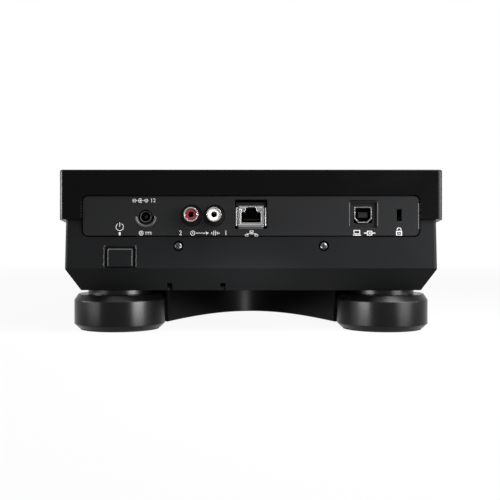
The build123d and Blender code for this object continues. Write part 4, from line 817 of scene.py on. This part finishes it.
@dataclass
class RearConnectors:
    """The connector panel with its jacks, the marks beside them, and painted shade and highlights on their
    edges.

    Places on the panel are x to the right as seen from behind, and z above the table.
    Those on the jacks are from their middle height.
    """

    mark_z: float = 58.3
    panel_z: float = 68.2
    number_x: float = 7.25
    inlet_at: Place = (-60.9, -0.1)
    bead_radius: float = 5.6
    bead_thickness: float = 0.8
    audio_x: Place = (-40.8, -14.5)
    audio_middle_x: float = -27.5
    bars: tuple[float, ...] = (1.2, 2.5, 3.0, 1.6, 1.1)
    button_at: Place = (-75.6, -22.2)
    line: float = 0.36
    contact_count: int = 8
    contact_pitch: float = 1.16
    contact_size: Place = (0.35, 0.22)
    contact_runs: tuple[Place, ...] = ((0.0, 2.2), (0.5, 2.4), (1.4, 2.6), (-0.5, 0.7))

    def build(self) -> None:
        """Dress the jacks, make the marks and contacts, and lay the painted shade and highlights."""
        dress(PALETTE.panel, "rear_panel")
        dress(PALETTE.jack, "dc_jack", "audio_jack_body")
        dress(PALETTE.dark_pin, "dc_pin")
        dress(PALETTE.nickel, "audio_jack_sleeves")
        dress(PALETTE.red, "audio_insulator_red")
        dress(PALETTE.white, "audio_insulator_white")
        dress(PALETTE.shield, "lan_shield", "usb_b_shield")
        dress(PALETTE.inner, "lan_insert", "usb_b_insert")
        self._power_marks()
        self._audio_marks()
        self._socket_marks()
        self._inlet_ring()
        self._paint_panel_shade_and_highlights()
        self._paint_button_highlights()
        self._network_face()
        self._network_contacts()

    def _power_marks(self) -> None:
        """Make the power sign, the inlet's polarity and its plain number."""
        power = Marks("power_mark", PANEL, (-75.9, 61.9))
        power.ring(0, 0, 2.3, self.line, 62.0).bar(0, 1.3, self.line, 2.5).bar(0, -4.0, 1.1, 1.9)
        power.finish_on()
        polarity = Marks("polarity_mark", PANEL, (-63.95, 77.1))
        polarity.ring(-3.45, 0, 1.05, 0.28).ring(3.45, 0, 1.05, 0.28)
        polarity.pair(3.45, 0, 1.1, 0.3).pair(1.9, 0, 1.1, 0.3).bar(3.45, 0, 0.3, 1.1)
        polarity.ring(0, 0, 1.25, 0.34, 80.0, 0.0).disc(0, 0, 0.5).bar(1.0, 0, 1.2, 0.3)
        polarity.number(self.number_x, 0, "12", 2.3).finish_on()
        inlet = Marks("inlet_mark", PANEL, (-61.0, self.mark_z))
        inlet.ring(-2.5, 0, 1.35, self.line).disc(-2.5, 0, 0.4).bar(1.7, 0.5, 3.8, self.line)
        for x in (0.25, 1.7, 3.15):
            inlet.bar(x, -0.5, 0.9, self.line)
        inlet.finish_on()

    def _audio_marks(self) -> None:
        """Make the numbers of the two audio outputs and the sign between them."""
        audio = Marks("audio_marks", PANEL, (0, self.mark_z))
        for digits, x in zip(("2", "1"), self.audio_x):
            audio.number(x, 0, digits, 2.7)
        middle = self.audio_middle_x
        audio.ring(middle - 6.2, 0, 1.4, self.line).disc(middle - 6.2, 0, 0.36)
        audio.bar(middle - 1.6, 0, 5.6, self.line).arrow(middle + 2.0, 0, 1.1)
        for index, reach in enumerate(self.bars):
            audio.bar(middle + 4.8 + index * 1.05, 0, self.line, reach)
        audio.finish_on()

    def _socket_marks(self) -> None:
        """Make the signs of three linked boxes, a computer, a generic square plug and a padlock."""
        network = Marks("network_mark", PANEL, (0.3, self.mark_z))
        network.frame(0, 0.85, 2.2, 1.3, self.line).bar(0, -0.1, self.line, 0.6)
        network.bar(0, -0.4, 5.9, 0.3).pair(2.8, -0.6, self.line, 0.5)
        network.frame(-2.8, -1.3, 2.0, 1.1, self.line).frame(2.8, -1.3, 2.0, 1.1, self.line)
        network.finish_on()
        computer = Marks("computer_mark", PANEL, (61.2, self.mark_z))
        computer.frame(0, 0.55, 3.7, 2.4, 0.42).bar(0, -1.25, 4.8, 0.6).finish_on()
        plug = Marks("square_plug_mark", PANEL, (68.6, self.mark_z))
        plug.frame(0, 0, 3.0, 2.7, 0.42).bar(0, 0, 1.2, 0.6).pair(2.4, 0, 1.9, 0.5).finish_on()
        lock = Marks("lock_mark", PANEL, (85.6, self.mark_z))
        lock.frame(0, -0.2, 3.5, 3.0, 0.62).bar(0, -0.2, 0.5, 0.9)
        lock.ring(0, 1.9, 1.35, 0.42, 170.0, -90.0).pair(1.14, 1.6, 0.42, 0.8).finish_on()

    def _inlet_ring(self) -> None:
        """Lay a raised ring on the mouth of the inlet's barrel, and a round bead about it."""
        mouth = Marks("inlet_mouth_ring", JACKS, (*self.inlet_at, -1.25), PALETTE.ring, 0.25)
        mouth.ring(0, 0, 3.25, 0.4, sides=64).finish_on(slot="jack_black")
        release()
        bpy.ops.mesh.primitive_torus_add(
            major_radius=self.bead_radius * MM,
            minor_radius=self.bead_thickness * MM,
            major_segments=72,
            minor_segments=20,
        )
        bead = bpy.context.object
        bead.matrix_world = JACKS.matrix(*self.inlet_at, -1.3)
        bpy.ops.object.shade_smooth()
        settle(bead, "inlet_rim_bead", PALETTE.ring, "case")

    def _paint_panel_shade_and_highlights(self) -> None:
        """Paint shade as a dark line in the groove round the panel and a dark bar along the top edge of the
        square socket's pocket, and highlights as light lines on the panel's end and on the pocket's sides.
        """
        # Painted shade: a black line in the groove round the panel.
        painted_shade = Marks("panel_groove_painted_shade", PANEL, (0, self.panel_z), PALETTE.painted_shade, 0.05)
        painted_shade.rounded(0, 0, 194.8, 23.2, 3.05, 0.3).finish_on()
        # Painted shadow along the top edge of the square socket's pocket.
        shade = Marks("socket_pocket_shade", PANEL, (65.1, 76.95), PALETTE.painted_shade, 0.05)
        shade.bar(0, 0, 15.6, 0.75).finish_on()
        # Painted highlights: light lines on the panel's end and on the pocket's sides.
        edges = Marks("panel_painted_edge_highlights", PANEL, (0, self.panel_z), PALETTE.line, 0.05)
        edges.bar(96.9, 0, 0.4, 15.0).bar(56.95, 0.9, 0.4, 13.6).bar(73.25, 0.9, 0.4, 13.6)
        edges.finish_on()

    def _paint_button_highlights(self) -> None:
        """Paint highlights as light lines on the edges of the power button and of its recess."""
        # Painted highlights: light lines on the button's top and sides.
        button = Marks("power_button_painted_highlights", LOWER_REAR, (*self.button_at, 0.3), PALETTE.line)
        button.bar(0, 4.8, 13.8, 0.5).pair(6.9, -0.2, 0.4, 9.4)
        button.finish_on("power_button", "case_grey")
        # Painted highlights: light lines on the recess's sides and top corners.
        recess = Marks("power_recess_painted_highlights", LOWER_REAR, self.button_at, PALETTE.line)
        recess.pair(9.3, 0.4, 0.3, 11.4).pair(8.9, 6.7, 1.1, 0.4).finish_on(slot="case_grey")

    def _network_face(self) -> None:
        """Lay the shield's stepped face plate round the network jack's mouth, its rims in a brighter tin that
        paints their highlights, black films that paint the shade of the slits beside it, and its hood above
        it.
        """
        face = Marks("network_face", JACKS, (0, 0, -1.18), PALETTE.shield, 0.3)
        face.bar(0, -4.05, 12.3, 1.0).pair(5.87, 0.4, 0.54, 7.9).pair(4.85, 3.55, 2.6, 1.9)
        face.pair(3.65, 4.1, 1.3, 1.0).pair(4.6, 4.95, 3.1, 0.8).finish_on(slot="socket_metal")
        # The rims are raised strips; their brighter tin paints the highlights on their edges.
        rims = Marks("network_face_rims", JACKS, (0, 0, -1.2), PALETTE.tin_painted_highlight, 0.4)
        rims.bar(0, -5.75, 14.2, 0.3).bar(0, -4.55, 12.1, 0.25).pair(7.05, -0.1, 0.3, 11.0)
        rims.pair(6.1, -0.6, 0.25, 7.6).pair(4.8, 5.3, 4.6, 0.3).pair(8.5, -0.2, 0.35, 10.6)
        rims.finish_on(slot="socket_metal")
        # Painted shade: black films where the slits beside the face plate lie in shade.
        painted_slit_shade = Marks("network_face_painted_gap_shade", JACKS, (0, 0, -1.2), PALETTE.painted_shade, 0.36)
        painted_slit_shade.pair(7.8, -0.2, 0.55, 10.8).finish_on(slot="socket_metal")
        hood = Marks("network_hood", JACKS, (0, 0, -1.9), PALETTE.hood, 0.4)
        hood.bar(0, 7.0, 17.6, 2.6).finish_on(slot="jack_black")

    def _network_contacts(self) -> None:
        """Bend one contact wire of the network jack and repeat it across the insert."""
        release()
        bpy.ops.mesh.primitive_plane_add(size=MM)
        wire = bpy.context.object
        wire.scale = (*self.contact_size, 1.0)
        bpy.ops.object.transform_apply(scale=True)
        with editing():
            for run in self.contact_runs:
                move = {"value": Vector((0.0, *run)) * MM}
                bpy.ops.mesh.extrude_region_move(TRANSFORM_OT_translate=move)
            bpy.ops.mesh.select_all(action="SELECT")
            bpy.ops.mesh.normals_make_consistent(inside=False)
        wires = [wire]
        for index in range(1, self.contact_count):
            wires.append(twin_of(wire))
            wires[-1].location.x = index * self.contact_pitch * MM
        join(wires)
        half = (self.contact_count - 1) / 2 * self.contact_pitch
        wire.matrix_world = JACKS.matrix(-half, -3.0, -11.6)
        # The contacts wear gold darkened to paint the shade inside the socket.
        settle(wire, "network_contacts", PALETTE.shade_darkened_gold, "case")


@dataclass
class RearScrews:
    """The two domed cross-head screws in the lower case's rear wall."""

    spread: float = 42.1
    drop: float = 15.5
    sink: float = 1.3
    head_radius: float = 2.75
    head_height: float = 1.6
    shank_radius: float = 1.5
    shank_length: float = 6.0
    recess_length: float = 3.4
    recess_width: float = 0.8
    recess_depth: float = 0.9
    smooth_angle: float = 28.0

    def build(self) -> None:
        """Model one screw, copy it, and put both in their wells."""
        screw = self._screw()
        pair = [screw, twin_of(screw)]
        for piece, side in zip(pair, (-1, 1)):
            piece.matrix_world = LOWER_REAR.matrix(side * self.spread, -self.drop, -self.sink)
        join(pair)
        settle(screw, "rear_screw_pair", PALETTE.bright_screw, "case")
        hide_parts("rear_screws")

    def _screw(self) -> Piece:
        """Return one screw: a dome cut from a ball, a cross recess and a shank."""
        ball = (self.head_radius**2 + self.head_height**2) / (2 * self.head_height)
        middle = (0.0, 0.0, (self.head_height - ball) * MM)
        release()
        bpy.ops.mesh.primitive_uv_sphere_add(segments=48, ring_count=32, radius=ball * MM, location=middle)
        head = bpy.context.object
        bpy.ops.object.transform_apply(location=True)
        with editing():
            bpy.ops.mesh.bisect(plane_co=(0, 0, 0), plane_no=(0, 0, 1), clear_inner=True, use_fill=True)
        for turn in (0.0, 90.0):
            release()
            bpy.ops.mesh.primitive_cube_add(size=MM, location=(0.0, 0.0, self.head_height * MM))
            cutter = bpy.context.object
            cutter.scale = (self.recess_length, self.recess_width, 2 * self.recess_depth)
            cutter.rotation_euler.z = radians(turn)
            take(head)
            cut = head.modifiers.new("recess", "BOOLEAN")
            cut.object = cutter
            cut.operation = "DIFFERENCE"
            bpy.ops.object.modifier_apply(modifier=cut.name)
            bpy.data.objects.remove(cutter)
        release()
        bpy.ops.mesh.primitive_cylinder_add(
            vertices=32,
            radius=self.shank_radius * MM,
            depth=self.shank_length * MM,
            location=(0.0, 0.0, -self.shank_length / 2 * MM),
        )
        join([head, bpy.context.object])
        bpy.ops.object.shade_smooth_by_angle(angle=radians(self.smooth_angle))
        return head


@dataclass
class JogAssembly:
    """The jog wheel, its plate and cap, with their trim."""

    at: Place = (-2.0, -62.0)
    plate_top: float = 12.5
    cap_top: float = 14.5
    groove_radii: tuple[float, ...] = (50.5, 44.0, 37.5, 31.0, 24.5)

    def build(self) -> None:
        """Dress the wheel and make its trim."""
        dress(PALETTE.jog, "jog_wheel")
        dress(PALETTE.plate, "jog_plate")
        dress(PALETTE.gloss, "jog_cap")
        rings = Marks("jog_plate_rings", DECK, (*self.at, self.plate_top), PALETTE.dim_ink, 0.03)
        for radius in self.groove_radii:
            rings.ring(0, 0, radius, 0.22, sides=96)
        rings.finish_on("jog_plate", "jog_plate_black")
        cap = Marks("jog_cap_ring", DECK, (*self.at, self.cap_top), PALETTE.lamp, 0.03)
        cap.ring(0, 0, 15.5, 0.5, sides=96).bar(0, 12.6, 1.1, 4.4).ring(0, 0, 9.0, 0.3, sides=64)
        cap.finish_on("jog_plate", "jog_cap_gloss")


@dataclass
class TempoFader:
    """The tempo fader with its scale."""

    at: Place = (91.0, -76.0)
    travel: float = 50.0
    line_rise: float = 9.05
    steps: int = 10
    long_reach: float = 3.6
    short_reach: float = 2.0

    def build(self) -> None:
        """Dress the fader and print its scale."""
        dress(PALETTE.fader, "tempo_fader_cap")
        line = Marks("tempo_fader_line", DECK, (*self.at, self.line_rise), film=0.03)
        line.bar(0, 0, 8.6, 0.5).finish_on("tempo_fader", "fader_black")
        scale = Marks("tempo_scale", DECK, self.at)
        for step in range(-self.steps, self.steps + 1):
            reach = self.short_reach if step % 5 else self.long_reach
            scale.bar(-8.6 - reach / 2, step * self.travel / self.steps, reach, 0.3)
        scale.bar(8.0, self.travel, 2.4, 0.35).bar(8.0, -self.travel, 2.4, 0.35)
        scale.bar(8.0, -self.travel, 0.35, 2.4).number(8.0, 0, "0", 2.2)
        scale.finish_on(slot="case_black")


@dataclass
class Selector:
    """The browsing knob and the signs round it."""

    at: Place = (89.0, 68.0)
    knob_top: float = 12.0

    def build(self) -> None:
        """Dress the knob and print its signs."""
        dress(PALETTE.knob, "selector_knob")
        dot = Marks("selector_dot", DECK, (*self.at, self.knob_top), PALETTE.dim_ink, 0.03)
        dot.ring(0, 0, 8.2, 0.25).disc(0, 7.0, 0.55).finish_on("selector_knob", "knob_black")
        signs = Marks("selector_signs", DECK, self.at)
        signs.ring(0, 0, 14.6, 0.32, 250.0, -90.0, 72)
        signs.arrow(13.6, 5.6, 1.2, -70.0).arrow(-13.6, 5.6, 1.2, -110.0)
        signs.finish_on(slot="case_black")


@dataclass
class TouchDisplay:
    """The touch display with its bezel line."""

    at: Place = (-12.0, 84.0)
    line_length: float = 117.0
    line_width: float = 67.0

    def build(self) -> None:
        """Dress the glass and print its bezel line."""
        dress(PALETTE.glass, "display_glass")
        signs = Marks("display_signs", DECK, self.at, PALETTE.dim_ink, 0.02)
        signs.frame(0, 0, self.line_length, self.line_width, 0.25).finish_on(slot="display_gloss")


@dataclass
class DeckPrints:
    """Lines and signs printed on the deck between the keys."""

    def build(self) -> None:
        """Print the deck's lines and the sign of the memory-stick socket."""
        dress(PALETTE.shield, "stick_socket")
        lines = Marks("deck_lines", DECK, finish=PALETTE.dim_ink)
        lines.bar(-56.0, 30.0, 86.0, 0.3).bar(18.0, 30.0, 46.0, 0.3)
        lines.frame(89.0, 6.0, 36.0, 30.0, 0.3).frame(-89.0, -46.0, 36.0, 29.0, 0.3)
        lines.finish_on(slot="case_black")
        plug = Marks("stick_sign", DECK, (69.0, 133.0))
        plug.frame(-1.6, 0, 4.6, 3.2, 0.35).frame(1.9, 0, 2.6, 2.2, 0.35)
        plug.finish_on(slot="case_black")


@dataclass(frozen=True)
class KeyPlace:
    """What one key of the deck is like.

    Args:
        u: its place across the deck.
        v: its place along the deck.
        sign: the strokes of its sign, each a shape of Marks and that shape's numbers.
        rise: its height.
        finish: what it wears.
        plate: thickness of the grey plate on it, 0 for none.
    """

    u: float
    v: float
    sign: tuple[Stroke, ...]
    rise: float = 1.4
    finish: Finish = PALETTE.key
    plate: float = 0.0


class Key(Enum):
    """The keys of the deck, by the names of their nodes and bodies."""

    PLAY = KeyPlace(
        -89.0,
        -84.0,
        (("arrow", -2.6, 0, 2.6), ("bar", 2.2, 0, 0.9, 4.4), ("bar", 4.2, 0, 0.9, 4.4)),
        2.2,
        PALETTE.green,
        0.12,
    )
    CUE = KeyPlace(-89.0, -119.0, (("ring", 0, 0, 2.8, 0.6), ("disc", 0, 0, 0.9)), 2.2, PALETTE.amber, 0.12)
    TRACK_BACK = KeyPlace(
        -98.0, -54.0, (("bar", -3.0, 0, 0.5, 2.6), ("arrow", -1.2, 0, 1.5, 180), ("arrow", 1.4, 0, 1.5, 180))
    )
    TRACK_FORWARD = KeyPlace(
        -80.0, -54.0, (("arrow", -1.4, 0, 1.5), ("arrow", 1.2, 0, 1.5), ("bar", 3.0, 0, 0.5, 2.6))
    )
    SEARCH_BACK = KeyPlace(-98.0, -38.0, (("arrow", -1.3, 0, 1.5, 180), ("arrow", 1.3, 0, 1.5, 180)))
    SEARCH_FORWARD = KeyPlace(-80.0, -38.0, (("arrow", -1.3, 0, 1.5), ("arrow", 1.3, 0, 1.5)))
    LOOP_IN = KeyPlace(
        -92.0, 20.0, (("bar", -0.9, 0, 0.4, 3.0), ("bar", -0.1, 1.3, 1.3, 0.4), ("bar", -0.1, -1.3, 1.3, 0.4))
    )
    LOOP_OUT = KeyPlace(
        -74.0, 20.0, (("bar", 0.9, 0, 0.4, 3.0), ("bar", 0.1, 1.3, 1.3, 0.4), ("bar", 0.1, -1.3, 1.3, 0.4))
    )
    RELOOP = KeyPlace(-56.0, 20.0, (("ring", 0, 0, 1.7, 0.4, 70.0, 20.0), ("arrow", 1.5, 0.9, 0.8, -70)))
    MEMORY = KeyPlace(-18.0, 20.0, (("frame", 0, 0, 3.2, 2.4, 0.4), ("bar", 0, 0.3, 1.4, 0.4)))
    CALL_BACK = KeyPlace(0.0, 20.0, (("arrow", 0, 0, 1.5, 180),))
    CALL_FORWARD = KeyPlace(18.0, 20.0, (("arrow", 0, 0, 1.5),))
    BEAT_SYNC = KeyPlace(80.0, 14.0, (("ring", -0.9, 0, 1.4, 0.35), ("ring", 0.9, 0, 1.4, 0.35)))
    MASTER = KeyPlace(98.0, 14.0, (("disc", 0, 0, 1.3), ("ring", 0, 0, 2.0, 0.3)))
    MASTER_TEMPO = KeyPlace(
        80.0, -2.0, (("disc", -0.5, -1.0, 0.7), ("bar", 0.1, 0.4, 0.3, 2.6), ("bar", 0.6, 1.5, 1.2, 0.4))
    )
    TEMPO_RANGE = KeyPlace(
        98.0, -2.0, (("bar", 0, 0.6, 2.0, 0.35), ("bar", 0, 0.6, 0.35, 2.0), ("bar", 0, -1.1, 2.0, 0.35))
    )
    BACK = KeyPlace(80.0, 100.0, (("arrow", -1.4, 0, 1.2, 180), ("bar", 0.9, 0, 3.2, 0.5)))
    TAG_TRACK = KeyPlace(98.0, 100.0, (("frame", 0.3, 0, 3.4, 2.4, 0.35), ("disc", -0.5, 0, 0.5)))


@dataclass
class KeyField:
    """All keys of the deck with their signs."""

    plate_radius: float = 11.2

    def build(self) -> None:
        """Dress the keys and print their signs. A round key glows as a ring round its plate."""
        for key in Key:
            name, like = key.name.lower(), key.value
            body = f"{name}_button"
            dress(like.finish, body)
            if like.plate:
                plate = Marks(f"{name}_plate", DECK, (like.u, like.v, like.rise), PALETTE.key, like.plate)
                plate.disc(0, 0, self.plate_radius, 64).finish_on(body, "key_grey")
            place = (like.u, like.v, like.rise + like.plate)
            Marks(f"{name}_sign", DECK, place, film=0.03).draw(like.sign).finish_on(body, "key_grey")


@dataclass
class MediaPlayer:
    """The whole object, built in order."""

    body: tuple[type, ...] = (Case, Inside)
    rear: tuple[type, ...] = (RearConnectors, RearScrews)
    deck: tuple[type, ...] = (JogAssembly, TempoFader, Selector, TouchDisplay, DeckPrints, KeyField)

    def build(self) -> None:
        """Build every sub-assembly."""
        for part in self.body + self.rear + self.deck:
            log.info("building %s", part.__name__)
            part().build()


def main() -> None:
    """Build the studio and the object."""
    scene = bpy.context.scene
    scene.view_settings.view_transform = "Standard"
    Studio().build()
    MediaPlayer().build()


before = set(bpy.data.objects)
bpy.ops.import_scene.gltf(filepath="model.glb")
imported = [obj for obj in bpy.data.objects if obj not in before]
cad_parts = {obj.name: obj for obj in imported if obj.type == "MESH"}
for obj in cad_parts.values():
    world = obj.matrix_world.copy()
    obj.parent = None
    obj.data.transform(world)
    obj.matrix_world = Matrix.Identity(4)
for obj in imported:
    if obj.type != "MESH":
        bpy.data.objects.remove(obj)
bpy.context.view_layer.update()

if __name__ == "__main__":
    logging.basicConfig(level=logging.INFO, format="%(message)s")
    main()
